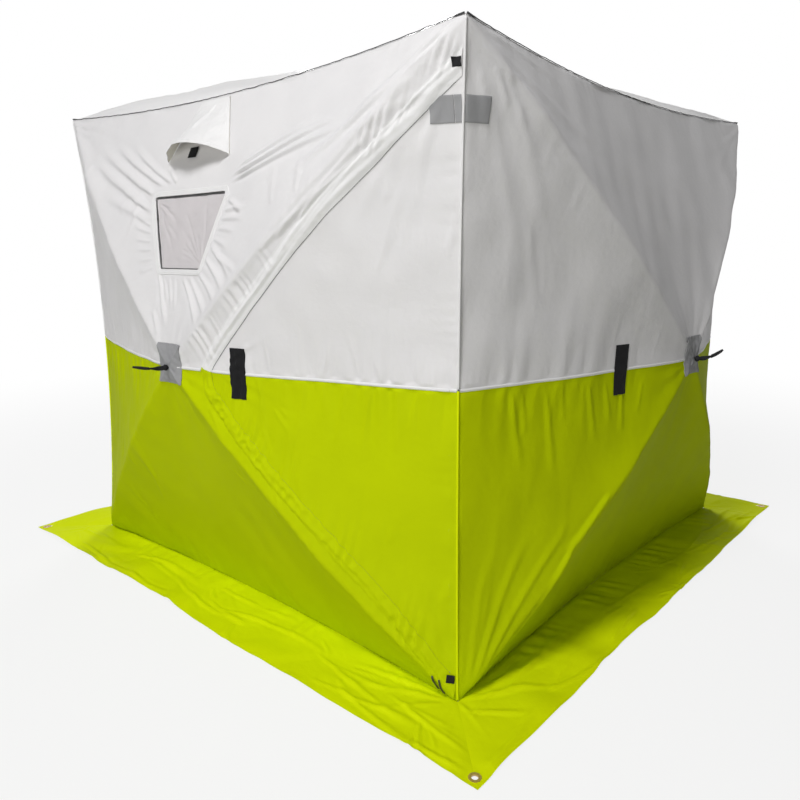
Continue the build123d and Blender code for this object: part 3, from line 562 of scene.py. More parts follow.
def mesh_object(name, points, faces, material, shade=True):
    """Mesh object from points and faces, already in place."""
    mesh = bpy.data.meshes.new(name)
    mesh.from_pydata([tuple(p) for p in np.asarray(points).reshape(-1, 3)], [], [tuple(f) for f in faces])
    mesh.validate()
    mesh.update()
    if shade:
        mesh.polygons.foreach_set("use_smooth", [True] * len(mesh.polygons))
    obj = bpy.data.objects.new(name, mesh)
    bpy.context.scene.collection.objects.link(obj)
    obj.data.materials.append(material)
    return obj


def quads(rows, cols, start=0, flip=False, wrap=False):
    """Faces of a grid of points."""
    i, j = np.meshgrid(np.arange(rows - 1), np.arange(cols if wrap else cols - 1), indexing="ij")
    k = (j + 1) % cols
    a, b = i * cols + j + start, i * cols + k + start
    c, d = (i + 1) * cols + k + start, (i + 1) * cols + j + start
    order = (a, d, c, b) if flip else (a, b, c, d)
    return np.stack([f.ravel() for f in order], 1)


def grid_object(name, points, material, flip=False, wrap=False):
    """Mesh object from rows of points."""
    rows, cols = points.shape[:2]
    return mesh_object(name, points, quads(rows, cols, flip=flip, wrap=wrap), material)


def nearest_on(points, line):
    """Nearest points of a closed line, their distances, and which points lie inside it."""
    a, b = line, np.roll(line, -1, axis=0)
    d = b - a
    size = np.maximum((d ** 2).sum(1), 1e-18)
    best = np.full(len(points), 1e9)
    spot = np.zeros_like(points)
    inside = np.zeros(len(points), bool)
    for k in range(0, len(points), 4000):
        p = points[k:k + 4000]  # in lots, to save memory
        rel = p[:, None] - a[None]
        t = np.clip((rel * d[None]).sum(2) / size, 0, 1)
        near = a[None] + t[..., None] * d[None]
        gap = ((p[:, None] - near) ** 2).sum(2)
        m = gap.argmin(1)
        rows = np.arange(len(p))
        best[k:k + 4000] = np.sqrt(gap[rows, m])
        spot[k:k + 4000] = near[rows, m]
        above = (a[None, :, 1] > p[:, None, 1]) != (b[None, :, 1] > p[:, None, 1])
        slope = np.where(np.abs(d[:, 1]) < 1e-12, 1e-12, d[:, 1])
        meets = a[None, :, 0] + (p[:, None, 1] - a[None, :, 1]) / slope[None] * d[None, :, 0]
        inside[k:k + 4000] = ((above & (p[:, None, 0] < meets)).sum(1) % 2) == 1
    return spot, best, inside


def cut_grid(x, z, cuts):
    """Grid of x and z with its points snapped to outlines. cuts pairs an outline with True to keep
    its inside. Returns the snapped x and z and the faces that stay."""
    rows, cols = x.shape
    flat = np.stack([x.ravel(), z.ravel()], 1)
    step = max(abs(x[0, 1] - x[0, 0]), abs(z[1, 0] - z[0, 0]))
    state = np.ones(len(flat), int)
    for line, keep_inside in cuts:
        low, high = line.min(0) - 2 * step, line.max(0) + 2 * step
        close = ((flat >= low) & (flat <= high)).all(1)
        inside = np.zeros(len(flat), bool)
        gap = np.full(len(flat), 1e9)
        spot = flat.copy()
        where = np.flatnonzero(close)
        spot[where], gap[where], inside[where] = nearest_on(flat[where], line)
        kept = inside if keep_inside else ~inside
        on = (gap < 0.52 * step) & (state > 0)
        flat[on] = spot[on]
        state = np.where(on, 0, np.where(kept, state, -1))
    grid = state.reshape(rows, cols)
    corners = [grid[:-1, :-1], grid[:-1, 1:], grid[1:, 1:], grid[1:, :-1]]
    index = np.arange(rows * cols).reshape(rows, cols)
    nodes = [index[:-1, :-1], index[:-1, 1:], index[1:, 1:], index[1:, :-1]]
    states = np.stack([c.ravel() for c in corners], 1)
    numbers = np.stack([c.ravel() for c in nodes], 1)
    whole = (states >= 0).all(1) & (states > 0).any(1)
    faces = [tuple(f) for f in numbers[whole]]
    mixed = np.flatnonzero((states < 0).any(1) & (states > 0).any(1))
    for k in mixed:
        for m in range(4):
            trio = [m, (m + 1) % 4, (m + 3) % 4]
            if states[k, m] > 0 and (states[k, trio] >= 0).all():
                faces.append(tuple(numbers[k, [trio[2], trio[0], trio[1]]]))
    return flat[:, 0].reshape(rows, cols), flat[:, 1].reshape(rows, cols), faces


def used_only(points, faces):
    """Points and faces without the points that no face uses."""
    points = np.asarray(points).reshape(-1, 3)
    flat = np.unique(np.concatenate([np.asarray(f) for f in faces]))
    renumber = np.full(len(points), -1)
    renumber[flat] = np.arange(len(flat))
    return points[flat], [tuple(int(renumber[v]) for v in f) for f in faces]


def carry(obj, body):
    """obj is attached to a body. On door_seam its transform is only baked into its points, and it is attached
    to nothing.
    """
    if body == "door_seam":
        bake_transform(obj)
    else:
        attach(obj, body)


def stand_in(obj, node, slot_name):
    """obj stands for a CAD node, which is hidden. slot_name is not used."""
    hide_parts(node)


def dress(obj, node, slot_name, body="hut"):
    """obj goes to a body as in carry, and stands for a CAD node."""
    carry(obj, body)
    stand_in(obj, node, slot_name)


def with_rims(rim, count):
    """Shares from 0 to 1, with close ones at both ends."""
    inside = np.linspace(rim, 1 - rim, count)
    return np.unique(np.concatenate([[0, rim * 0.3, rim], inside, [1 - rim * 0.3, 1]]))


def slab(name, grid, thick, material, body="hut"):
    """Closed thin piece from a function of two shares in 0 to 1 and a lift, with rounded rims.
    grid is (place, columns, rows, width, height)."""
    place, cols, rows, width, height = grid
    uu, vv = np.meshgrid(
        with_rims(min(0.2, thick / width), cols), with_rims(min(0.2, thick / height), rows)
    )
    edge = np.minimum(np.minimum(uu, 1 - uu) * width, np.minimum(vv, 1 - vv) * height)
    share = np.clip(edge / thick, 0, 1)
    lift = thick * np.sqrt(1 - (1 - share) ** 2) * 0.92 + 0.08 * thick
    top, bottom = place(uu, vv, lift), place(uu, vv, 0 * lift)
    count = uu.size
    nrows, ncols = uu.shape
    faces = [*quads(nrows, ncols), *quads(nrows, ncols, count, flip=True)]
    ring = [(0, j) for j in range(ncols)] + [(i, ncols - 1) for i in range(1, nrows)]
    ring += [(nrows - 1, j) for j in range(ncols - 2, -1, -1)] + [(i, 0) for i in range(nrows - 2, 0, -1)]
    ids = [i * ncols + j for i, j in ring]
    for a, b in zip(ids, ids[1:] + ids[:1]):
        faces.append((a + count, b + count, b, a))
    obj = mesh_object(name, np.concatenate([top.reshape(-1, 3), bottom.reshape(-1, 3)]), faces, material)
    carry(obj, body)
    return obj


def beside_and_over(line, up):
    """Unit vectors beside a line of points in space and over it."""
    tangent = unit(np.gradient(line, axis=0))
    side = np.cross(tangent, np.broadcast_to(np.asarray(up, float), line.shape))
    size = np.linalg.norm(side, axis=1)[:, None]
    side = np.where(size < 1e-6, np.array([1.0, 0, 0]), side / np.maximum(size, 1e-9))
    return side, np.cross(side, tangent)


def each_of(line, value):
    """The value for each point of a line, as a column."""
    return np.broadcast_to(np.asarray(value, float), (len(line),))[:, None]


def closed_rings(name, rings, material):
    """Closed piece of the hut from a row of rings."""
    rows, cols = rings.shape[:2]
    ends = [tuple(range(cols))[::-1], tuple(range((rows - 1) * cols, rows * cols))]
    obj = mesh_object(name, rings, [*quads(rows, cols, wrap=True), *ends], material)
    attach(obj, "hut")
    return obj


def tube(name, line, radius, material, sides=8, up=(0, 0, 1)):
    """Closed tube along a line of points in space."""
    side, over = beside_and_over(line, up)
    angles = np.linspace(0, ROUND, sides, endpoint=False)[None, :, None]
    turn = side[:, None] * np.cos(angles) + over[:, None] * np.sin(angles)
    return closed_rings(name, line[:, None] + turn * each_of(line, radius)[:, None], material)


# ---- Materials ----

def shader(name):
    material = bpy.data.materials.new(name)
    material.use_nodes = True
    tree = material.node_tree
    return material, tree, tree.nodes["Principled BSDF"]


def add_node(tree, kind, **values):
    node = tree.nodes.new(kind)
    for key, value in values.items():
        if key in node.inputs:
            node.inputs[key].default_value = value
        else:
            setattr(node, key, value)
    return node


def two_tones(name, color, shade, scale, detail, roughness):
    """Material of two close tones in soft patches, with the nodes that more is joined to."""
    material, tree, bsdf = shader(name)
    place = add_node(tree, "ShaderNodeTexCoord")
    patches = add_node(tree, "ShaderNodeTexNoise", Scale=scale, Detail=detail, Roughness=roughness)
    blend = add_node(tree, "ShaderNodeMix", data_type="RGBA")
    blend.inputs[6].default_value = (*color, 1)
    blend.inputs[7].default_value = (*shade, 1)
    tree.links.new(place.outputs["Object"], patches.inputs["Vector"])
    tree.links.new(patches.outputs["Fac"], blend.inputs[0])
    tree.links.new(blend.outputs[2], bsdf.inputs["Base Color"])
    return material, tree, bsdf, place, patches


def cloth(name, color, shade, rough=0.6, weave=0.00025, sheen=0.03, pitch=0.0016, gloss=0.12):
    """Woven cloth: two close tones in soft patches, a fine weave and small crinkles."""
    material, tree, bsdf, place, _ = two_tones(name, color, shade, 5.0, 5.0, 0.6)
    crinkle = add_node(tree, "ShaderNodeTexNoise", Scale=55.0, Detail=4.0, Roughness=0.55)
    first = add_node(tree, "ShaderNodeBump", Strength=0.55, Distance=0.0016)
    threads = add_node(tree, "ShaderNodeTexMagic", turbulence_depth=1, Scale=1.0 / pitch, Distortion=0.6)
    second = add_node(tree, "ShaderNodeBump", Strength=0.35, Distance=weave)
    link = tree.links.new
    link(place.outputs["Object"], crinkle.inputs["Vector"])
    link(place.outputs["Object"], threads.inputs["Vector"])
    link(crinkle.outputs["Fac"], first.inputs["Height"])
    link(threads.outputs["Fac"], second.inputs["Height"])
    link(first.outputs["Normal"], second.inputs["Normal"])
    link(second.outputs["Normal"], bsdf.inputs["Normal"])
    bsdf.inputs["Roughness"].default_value = rough
    bsdf.inputs["Sheen Weight"].default_value = sheen
    bsdf.inputs["Sheen Roughness"].default_value = 0.4
    bsdf.inputs["Specular IOR Level"].default_value = gloss
    return material


def solid(name, color, shade, rough, metal=0.0, coat=0.0):
    """Hard material with a faint mottle in its tone and roughness."""
    material, tree, bsdf, _, mottle = two_tones(name, color, shade, 40.0, 4.0, 0.55)
    spread = add_node(tree, "ShaderNodeMapRange")
    spread.inputs["To Min"].default_value = rough * 0.85
    spread.inputs["To Max"].default_value = min(1.0, rough * 1.2)
    raised = add_node(tree, "ShaderNodeBump", Strength=0.4, Distance=0.0001)
    link = tree.links.new
    link(mottle.outputs["Fac"], spread.inputs["Value"])
    link(mottle.outputs["Fac"], raised.inputs["Height"])
    link(spread.outputs["Result"], bsdf.inputs["Roughness"])
    link(raised.outputs["Normal"], bsdf.inputs["Normal"])
    bsdf.inputs["Metallic"].default_value = metal
    bsdf.inputs["Coat Weight"].default_value = coat
    return material


WHITE = cloth("white_cloth", (0.80, 0.785, 0.79), (0.72, 0.71, 0.72), 0.48, gloss=0.18)
FLAP_WHITE = cloth("white_flap_cloth", (0.84, 0.83, 0.83), (0.76, 0.755, 0.76), 0.42)
LINER = cloth("vent_liner", (0.84, 0.82, 0.72), (0.76, 0.74, 0.66), 0.7)
# The window cover is the white cloth drawn darker, as painted shade behind the film.
PAINTED_SHADE_COVER = cloth("window_cover_cloth", (0.66, 0.62, 0.63), (0.58, 0.55, 0.56), 0.6)
LIME = cloth("lime_cloth", (0.55, 0.66, 0.001), (0.49, 0.60, 0.001), 0.60, sheen=0.0, gloss=0.03)
# Lighter copy of the lime cloth: painted light on the flat skirts and a painted highlight on the lower corner
# piping.
PAINTED_LIT_LIME = cloth(
    "painted_lit_lime_cloth", (0.77, 0.88, 0.002), (0.71, 0.82, 0.001), 0.55, sheen=0.0, gloss=0.05,
)
GREY = cloth("grey_patch_cloth", (0.36, 0.36, 0.37), (0.29, 0.29, 0.30), 0.7, weave=0.0006, pitch=0.003)
WEBBING = cloth(
    "black_webbing", (0.012, 0.012, 0.013), (0.022, 0.022, 0.024), 0.75, weave=0.0007, pitch=0.004,
)
HOOK = cloth("black_hook_strap", (0.010, 0.010, 0.011), (0.020, 0.020, 0.021), 0.9, weave=0.0007, pitch=0.003)
TAPE = cloth("zip_tape_cloth", (0.16, 0.16, 0.165), (0.11, 0.11, 0.115), 0.7)
LIME_COIL = solid("lime_zip_coil", (0.50, 0.61, 0.004), (0.44, 0.54, 0.003), 0.45)
COIL = solid("zip_coil", (0.10, 0.10, 0.105), (0.17, 0.17, 0.175), 0.4)
BINDING = cloth("dark_binding", (0.050, 0.050, 0.052), (0.085, 0.085, 0.088), 0.65)
MESH = cloth("vent_mesh", (0.03, 0.03, 0.03), (0.06, 0.06, 0.06), 0.8, weave=0.001, pitch=0.004)
ROD = solid("glass_fibre_rod", (0.60, 0.58, 0.50), (0.50, 0.48, 0.42), 0.35, coat=0.3)
PLASTIC = solid("black_plastic", (0.016, 0.016, 0.017), (0.028, 0.028, 0.03), 0.42)
BRASS = solid("brass", (0.66, 0.46, 0.20), (0.50, 0.34, 0.14), 0.30, metal=0.6)
PULL = solid("zip_pull_metal", (0.05, 0.05, 0.055), (0.09, 0.09, 0.095), 0.35, metal=0.6)

FILM, film_tree, film_shader = shader("clear_film")
film_shader.inputs["Base Color"].default_value = (0.9, 0.9, 0.92, 1)
film_shader.inputs["Roughness"].default_value = 0.12
film_clear = add_node(film_tree, "ShaderNodeBsdfTransparent")
film_mix = add_node(film_tree, "ShaderNodeMixShader")
film_waves = add_node(film_tree, "ShaderNodeTexNoise", Scale=9.0, Detail=2.0)
film_bump = add_node(film_tree, "ShaderNodeBump", Strength=0.5, Distance=0.002)
film_mix.inputs["Fac"].default_value = 0.10
link = film_tree.links.new
link(film_waves.outputs["Fac"], film_bump.inputs["Height"])
link(film_bump.outputs["Normal"], film_shader.inputs["Normal"])
link(film_clear.outputs["BSDF"], film_mix.inputs[1])
link(film_shader.outputs["BSDF"], film_mix.inputs[2])
link(film_mix.outputs["Shader"], film_tree.nodes["Material Output"].inputs["Surface"])


# ---- Walls ----


def tier_grid(low, high, left, right, step):
    """Grid of x and z between two heights and two sides, each a function of the other."""
    cols = max(4, int(round((right(SEAM) - left(SEAM)) / step)) + 1)
    rows = max(4, int(round((high(0.0) - low(0.0)) / step)) + 1)
    s, t = np.meshgrid(np.linspace(0, 1, cols), np.linspace(0, 1, rows))
    x, z = left(SEAM) + s * (right(SEAM) - left(SEAM)), low(0.0) + t * (high(0.0) - low(0.0))
    for _ in range(4):
        z = low(x) + t * (high(x) - low(x))
        x = left(z) + s * (right(z) - left(z))
    return x, z


def level_at(place):
    """A straight edge, as a function for tier_grid."""
    return lambda along: place + 0 * np.asarray(along)


def minus_corner(z):
    return -corner_reach(z)


def strip_left(z):
    return corner_reach(z) - STRIP


def panel(name, wall, x, z, material, faces=None):
    """Cloth of a wall on a grid, or on the faces of it that stay."""
    points, faces = used_only(on_wall(wall, x, z), quads(*x.shape) if faces is None else faces)
    return mesh_object(name, points, faces, material)


STEP = 0.0040 if FINE else 0.012
RIGHT_STEP = 0.0058 if FINE else 0.014
FAR_STEP = 0.010 if FINE else 0.02
vent_x, vent_z = -0.040, SEAM + 0.863 * UPPER
angle = np.linspace(0, ROUND, 60, endpoint=False)
vent_hole = np.stack([
    vent_x + np.sign(np.cos(angle)) * 0.045 + 0.030 * np.cos(angle), vent_z + 0.030 * np.sin(angle)
], 1)

seam_level = level_at(SEAM)
TIERS = {
    "upper": (WHITE, "white_cloth", seam_level, eaves_height),
    "lower": (LIME, "lime_cloth", level_at(0.0), seam_level),
}
for wall, side in enumerate(SIDES):
    step = (STEP, RIGHT_STEP, FAR_STEP, FAR_STEP)[wall]
    for tier, (material, slot_name, foot, head) in TIERS.items():
        x, z = tier_grid(foot, head, minus_corner, corner_reach, step)
        faces = None
        if wall == 0:
            holes = [zip_outline(0.0)] + ([trapezoid(*WINDOW), vent_hole] if tier == "upper" else [])
            x, z, faces = cut_grid(x, z, [(hole, False) for hole in holes])
        wall_cloth = panel(f"{side}_{tier}_cloth", wall, x, z, material, faces)
        dress(wall_cloth, f"{side}_wall_{tier}", slot_name)

for tier, (material, slot_name, foot, head) in TIERS.items():
    ends = (seam_level, level_at(STRIP_HEAD)) if tier == "upper" else (level_at(STRIP_FOOT), seam_level)
    x, z = tier_grid(*ends, strip_left, corner_reach, 0.006)
    strip = panel(f"corner_{tier}_cloth", 0, x, z, material)
    dress(strip, f"corner_strip_{tier}", slot_name)

    x, z = tier_grid(foot, head, level_at(0.10), strip_left, STEP)
    x, z, faces = cut_grid(x, z, [(zip_outline(-0.0015), True)])
    leaf = panel(f"door_{tier}_cloth", 0, x, z, material, faces)
    dress(leaf, f"door_{tier}", slot_name, "door_seam")


# ---- Roof and skirts ----

count = int(round(2 * HALF / (0.0120 if FINE else 0.02)))
s, t = np.meshgrid(np.linspace(-1, 1, count), np.linspace(-1, 1, count))
x, y = s * HALF, t * HALF
for _ in range(4):
    x, y = s * eaves_reach(y), t * eaves_reach(x)
roof = grid_object("roof_cloth", on_roof(x, y), FLAP_WHITE)
dress(roof, "roof_panel", "white_cloth")


# Folds of the skirt beside the near foot, as in the lists of the walls, with the distance out for z.
NEAR_SKIRT_FOLDS = {
    0: [
        (0.890, 0.906, 0.550, 0.965, 0.010, 0.0080), (0.890, 0.912, 0.600, 1.035, 0.012, 0.0080),
        (0.880, 0.930, 0.740, 1.085, 0.009, 0.0050),
    ],
    1: [
        (-0.902, 0.905, -0.918, 0.950, 0.008, 0.0110), (-0.920, 0.935, -0.812, 1.072, 0.007, 0.0080),
        (-0.880, 0.908, -0.700, 1.020, 0.010, 0.0080), (-0.870, 0.904, -0.560, 0.970, 0.012, 0.0070),
        (-0.780, 0.960, -0.640, 1.090, 0.010, 0.0050),
    ],
}


def skirt_place(wall, s, w, lift=0.0):
    """Points of a skirt: s runs from -1 to 1 along it, w from the wall to the outer edge."""
    inner = (HALF + 0.0018) - BASE_SAG * (1 - s ** 2)
    x = s * ((1 - w) * (HALF + 0.0018) + w * SKIRT)
    out = (1 - w) * inner + w * SKIRT
    edge = smooth(w, 0.55, 1.0) * (1 - smooth(np.abs(s), 0.86, 0.97))
    bent = 0.0030 * (1 + ripple(x, 0 * x + wall, 0.7, 500 + wall))
    bent += 0.0003 * (1 + ripple(x, 0 * x, 0.12, 505 + wall))
    out = out - edge * (bent + 0.010 * dent(s, -0.30, 0.16))
    waves = 0.0040 * (0.6 + 0.6 * ripple(x, 0.25 * out, 0.36, 510 + wall))
    waves += 0.0009 * ripple(x * 0.6, out, 0.12, 520 + wall)
    phase = ROUND * (out * 2.2 + 0.35 * ripple(x, out, 0.9, 530 + wall))
    long = np.abs(np.sin(phase + 0.3)) ** 3
    waves += 0.0034 * long * (0.5 + 0.5 * ripple(x, out, 0.4, 531 + wall))
    for side in (-1, 1):
        turn = (90 - side * 5, 90 - side * 75)
        own = 550 + wall * 2 + side
        waves += fan(x, out, (side * HALF, HALF), turn, (0.12, 0.26), 5, 0.009, 0.0050, own, 0.004)
    region = (-1.05, 1.0, HALF + 0.03, SKIRT - 0.02)
    waves += scattered(x, out, region, 22, (0.20, 0.60), (-9, 9), 0.010, 0.0085, 560 + wall)
    waves += scattered(x, out, region, 16, (0.08, 0.22), (15, 60), 0.008, 0.0050, 570 + wall)
    waves += drawn(x, out, NEAR_SKIRT_FOLDS.get(wall, []))
    near = gathers(x, out, (-HALF, HALF), (HALF, HALF), 0.05, 0.0030, 0.06, 540 + wall, lean=0.3)
    mitre = np.exp(-np.abs(SKIRT - HALF) * (1 - np.abs(s)) / 0.012)
    eyelet = np.hypot(np.abs(x) - EYELET_AT, out - EYELET_AT)
    lift = lift + (np.maximum(waves, -0.0002) + near * smooth(w, 0.0, 0.2)) * smooth(eyelet, 0.014, 0.055)
    lift = lift * smooth(w, 0.0, 0.06) * (1 - mitre)
    return turned(wall, x, out, SKIRT_TOP + np.maximum(lift, -0.0012))


HOLE, HOLE_RIM, HOLE_REACH = 0.0088, 0.0095, 0.0130  # radii: faces go, points move to, points move from


def opened_at_eyelets(points, faces):
    """Skirt with holes under the eyelets: the points near each one move out, and the faces inside go."""
    points, faces = points.reshape(-1, 3).copy(), np.array(faces)
    inside = np.zeros(len(faces), bool)
    for right, back in CORNERS:
        centre = (right * EYELET_AT, back * EYELET_AT)
        away = points[:, :2] - centre
        far = np.maximum(np.hypot(away[:, 0], away[:, 1]), 1e-9)
        near = far < HOLE_REACH
        reach = HOLE_RIM + far * 0.0035 / HOLE_REACH
        points[near, :2] = centre + (away / far[:, None] * reach[:, None])[near]
        middle = points[faces].mean(1)[:, :2] - centre
        inside |= np.hypot(middle[:, 0], middle[:, 1]) < HOLE
    return used_only(points, [tuple(f) for f in faces[~inside]])


for wall, side in enumerate(SIDES):
    step = 0.0055 if wall < 2 and FINE else 0.012
    s, w = np.meshgrid(np.linspace(-1, 1, int(2 * HALF / step)), np.linspace(0, 1, int(0.24 / step)))
    points, faces = opened_at_eyelets(skirt_place(wall, s, w), quads(*s.shape, flip=True))
    # The skirts take the lighter lime, as painted light on the flat cloth.
    skirt = mesh_object(f"{side}_skirt_cloth", points, faces, PAINTED_LIT_LIME)
    dress(skirt, f"{side}_skirt", "lime_cloth")


# ---- Storm flap and zip ----

def flap_line(t_index, reach):
    """Place at a distance outside the zip line, which runs on straight past both of its ends."""
    at, last = np.arange(len(ZIP)), len(ZIP) - 1
    inside = np.clip(t_index, 0, last)
    place = [np.interp(inside, at, ZIP[:, k]) for k in range(2)]
    normal = [np.interp(inside, at, ZIP_OUT[:, k]) for k in range(2)]
    for end, inner in ((0, 10), (last, last - 10)):
        way = (ZIP[end] - ZIP[inner]) / 10
        past = np.maximum(-t_index, 0) if end == 0 else np.maximum(t_index - last, 0)
        place = [p + past * w for p, w in zip(place, way)]
    return place[0] + normal[0] * reach, place[1] + normal[1] * reach


def flap_end(w, first):
    """Where a line along the flap meets the corner seam or the foot."""
    step = -0.25 if first else 0.25
    t = 0.0 if first else len(ZIP) - 1.0
    for _ in range(240):
        x, z = flap_line(np.array(t), w * FLAP)
        if x > corner_reach(z) - 0.005 or z < 0.008:
            break
        t += step
    return t


def flap_place(t_index, w):
    """Points of the flap: t_index is a place on the zip line, w runs from the zip to the sewn edge."""
    x, z = flap_line(t_index, w * FLAP - 0.0015)
    run = t_index * ZIP_STEP
    middle = np.sin(math.pi * np.clip(w, 0, 1))
    lower = smooth(t_index, apex - 8, apex + 12)
    rise = 0.0008 + (0.0034 + 0.0014 * lower) * middle ** 0.8 + 0.0010 * (1 - w) * (1 - lower)
    rise += 0.0015 * np.sin(ROUND * (1.9 * w + 0.22 * ripple(run, 0 * run, 0.60, 610))) * middle
    fold = w - 0.52 - 0.10 * ripple(run, 0 * run, 0.8, 612)
    rise += 0.0016 * dent(fold, 0, 0.05) * (1 - 0.6 * lower)
    rise += 0.0004 * ripple(run, 0.6 * w * FLAP, 0.040, 611) * middle
    crumpled = lower * (1 - 0.6 * smooth(t_index, apex + 60, apex + 140))
    rise += 0.0030 * crumpled * (1 - 1.4 * np.abs(ripple(run, 0.8 * w * FLAP, 0.055, 613))) * middle
    rise -= 0.0022 * dent(w, 0.90, 0.05)
    return on_wall(0, x, z, np.maximum(rise, 0.0006))


apex = int(np.argmin(np.abs(ZIP[:, 1] - SEAM) + (ZIP[:, 0] > 0.4) * 9))
widths = np.concatenate([[0.0, 0.012], np.linspace(0.03, 1, 17)])
for tier, material, slot_name in (("upper", FLAP_WHITE, "white_cloth"), ("lower", LIME, "lime_cloth")):
    upper = tier == "upper"
    ends = np.array([flap_end(w, upper) for w in widths])
    share = np.linspace(0, 1, apex + 40 if upper else len(ZIP) - apex)[:, None]
    t = ends + share * (apex - ends) if upper else apex + share * (ends - apex)
    w = widths + 0 * t
    flap = grid_object(f"{tier}_flap_cloth", flap_place(t, w), material)
    dress(flap, f"storm_flap_{tier}", slot_name)


def zip_side(name, low, high, node, body):
    """Tape behind the zip, from low to high outside the zip line."""
    t, w = np.meshgrid(np.arange(0, len(ZIP)), np.linspace(0, 1, 5), indexing="ij")
    reach = low + w * (high - low)
    x, z = ZIP[t, 0] + ZIP_OUT[t, 0] * reach, ZIP[t, 1] + ZIP_OUT[t, 1] * reach
    dress(grid_object(name, on_wall(0, x, z, -0.0016), TAPE), node, "zip_tape_cloth", body)


def zip_coil(name, part, material):
    """Row of small teeth along part of the zip line."""
    line = evenly(part, TOOTH_PITCH)
    normal = from_door(line)
    spots = line + normal * -0.0009
    inner = on_wall(0, spots[:, 0], spots[:, 1], -0.0006)
    reach = on_wall(0, spots[:, 0] + normal[:, 0] * 0.001, spots[:, 1] + normal[:, 1] * 0.001, -0.0006)
    across = unit(reach - inner)
    along = unit(np.gradient(inner, axis=0))
    out = np.cross(across, along)
    out *= np.sign(-out[:, 1])[:, None]
    points, faces = [], []
    for k in range(len(line)):
        base = len(points)
        for a in (-1, 1):
            for b in (-1, 1):
                for c in (-1, 1):
                    size = 1.0 if c < 0 else 0.7
                    foot = inner[k] + across[k] * a * 0.0014 * size + along[k] * b * 0.0011 * size
                    points.append(foot + out[k] * c * 0.0007)
        faces += [tuple(base + i for i in f) for f in (
            (0, 1, 3, 2), (4, 6, 7, 5), (0, 4, 5, 1), (2, 3, 7, 6), (0, 2, 6, 4), (1, 5, 7, 3),
        )]
    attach(mesh_object(name, points, faces, material, shade=False), "hut")


zip_side("wall_zip_tape", -0.0018, 0.014, "zip_tape", "hut")
zip_side("door_zip_tape_cloth", -0.019, -0.0022, "door_zip_tape", "door_seam")
zip_coil("upper_zip_coil", ZIP[:apex], COIL)
zip_coil("lower_zip_coil", ZIP[apex:], LIME_COIL)


# ---- Window ----

def ring_strip(outline, low, high, lifts):
    """Points of a band round a closed outline. lifts gives (share, lift) from its inner to its outer edge."""
    normal = right_of(np.roll(outline, -1, axis=0) - np.roll(outline, 1, axis=0))
    rows = []
    for share, lift in lifts:
        reach = low + share * (high - low)
        p = outline + normal * reach
        rows.append(on_wall(0, p[:, 0], p[:, 1], lift))
    return np.array(rows)


window_edge = trapezoid(*WINDOW)
profile = [
    (0, -0.0030), (0, 0.0002), (0.02, 0.0012), (0.08, 0.0018), (0.30, 0.0018), (0.34, 0.0013), (0.38, 0.0018),
    (0.70, 0.0018), (0.74, 0.0013), (0.78, 0.0018), (0.95, 0.0016), (1.0, 0.0006), (1.0, -0.0004),
]
rows = ring_strip(window_edge, 0.0, 0.016, profile)
border = grid_object("window_border_band", rows, FLAP_WHITE, flip=True, wrap=True)
dress(border, "window_border", "white_cloth")


def window_grid(left, foot, right, top, cols, rows):
    """Grid over the window, with its edges moved out by four distances."""
    foot_left, foot_right, low, top_left, top_right, high = WINDOW
    s, t = np.meshgrid(np.linspace(0, 1, cols), np.linspace(0, 1, rows))
    z = (low - foot) + t * (high + top - low + foot)
    share = (z - low) / (high - low)
    a = foot_left + share * (top_left - foot_left) - left
    b = foot_right + share * (top_right - foot_right) + right
    return a + s * (b - a), z


x, z = window_grid(0.013, 0.013, 0.013, 0.013, 60, 44)
film = grid_object("window_film_sheet", on_wall(0, x, z, -0.0028, 0.0), FILM)
dress(film, "window_film", "clear_film")

# The cover behind the film, in the darker cloth that paints its shade.
x, z = window_grid(-0.0045, -0.003, 0.012, -0.0070, 90, 70)
wrinkle = 0.0010 * ripple(x, z, 0.11, 701) + 0.0004 * ripple(x, z, 0.045, 702)
wrinkle += fan(x, z, (-0.21, 1.27), (-75, -10), (0.08, 0.26), 8, 0.0050, -0.0036, 703)
wrinkle += fan(x, z, (0.09, 1.08), (100, 170), (0.08, 0.24), 8, 0.0050, -0.0036, 704)
wrinkle = np.clip(wrinkle, -0.0050, 0.0016)
cover = grid_object("window_cover_cloth", on_wall(0, x, z, -0.0058 + wrinkle, 0.0), PAINTED_SHADE_COVER)
dress(cover, "window_cover", "white_cloth")


# ---- Vent ----

HOOD_TOP, HOOD_FOOT = TOP - EAVES_SAG - 0.007, SEAM + 0.737 * UPPER


def hood_place(u, v, lift):
    """Points of the vent hood: u across, v from its head seam to its arched mouth."""
    left = (1 - v) * -0.099 + v * -0.196
    right = (1 - v) * 0.040 + v * 0.114
    x = left + u * (right - left)
    z = HOOD_TOP + v * (HOOD_FOOT - HOOD_TOP)
    base = softened(wall_facets, x, z, SEAM)
    arch = (4 * u * (1 - u)) ** 0.85
    edge = smooth(np.minimum(u, 1 - u), 0.0, 0.10)
    rise = v ** 1.2 * 0.062 * arch + 0.0012
    fold = 0.0040 * dent(u - 0.62 + 0.34 * v, 0, 0.045) * smooth(v, 0.02, 0.25) * (1 - smooth(v, 0.75, 1.0))
    fold -= 0.0030 * dent(u - 0.50 - 0.28 * v, 0, 0.06) * smooth(v, 0.05, 0.4)
    fold += 0.0016 * ripple(x, z, 0.060, 802) * edge * smooth(v, 0, 0.2)
    fold += 0.0005 * ripple(x, z, 0.020, 803) * edge
    hem = 0.0011 * dent(v, 0.93, 0.010) + 0.0009 * dent(u, 0.955, 0.008)
    out = base + rise + fold - hem + lift
    return np.stack([x, -out, z + 0.038 * v ** 1.6 * arch], -1)


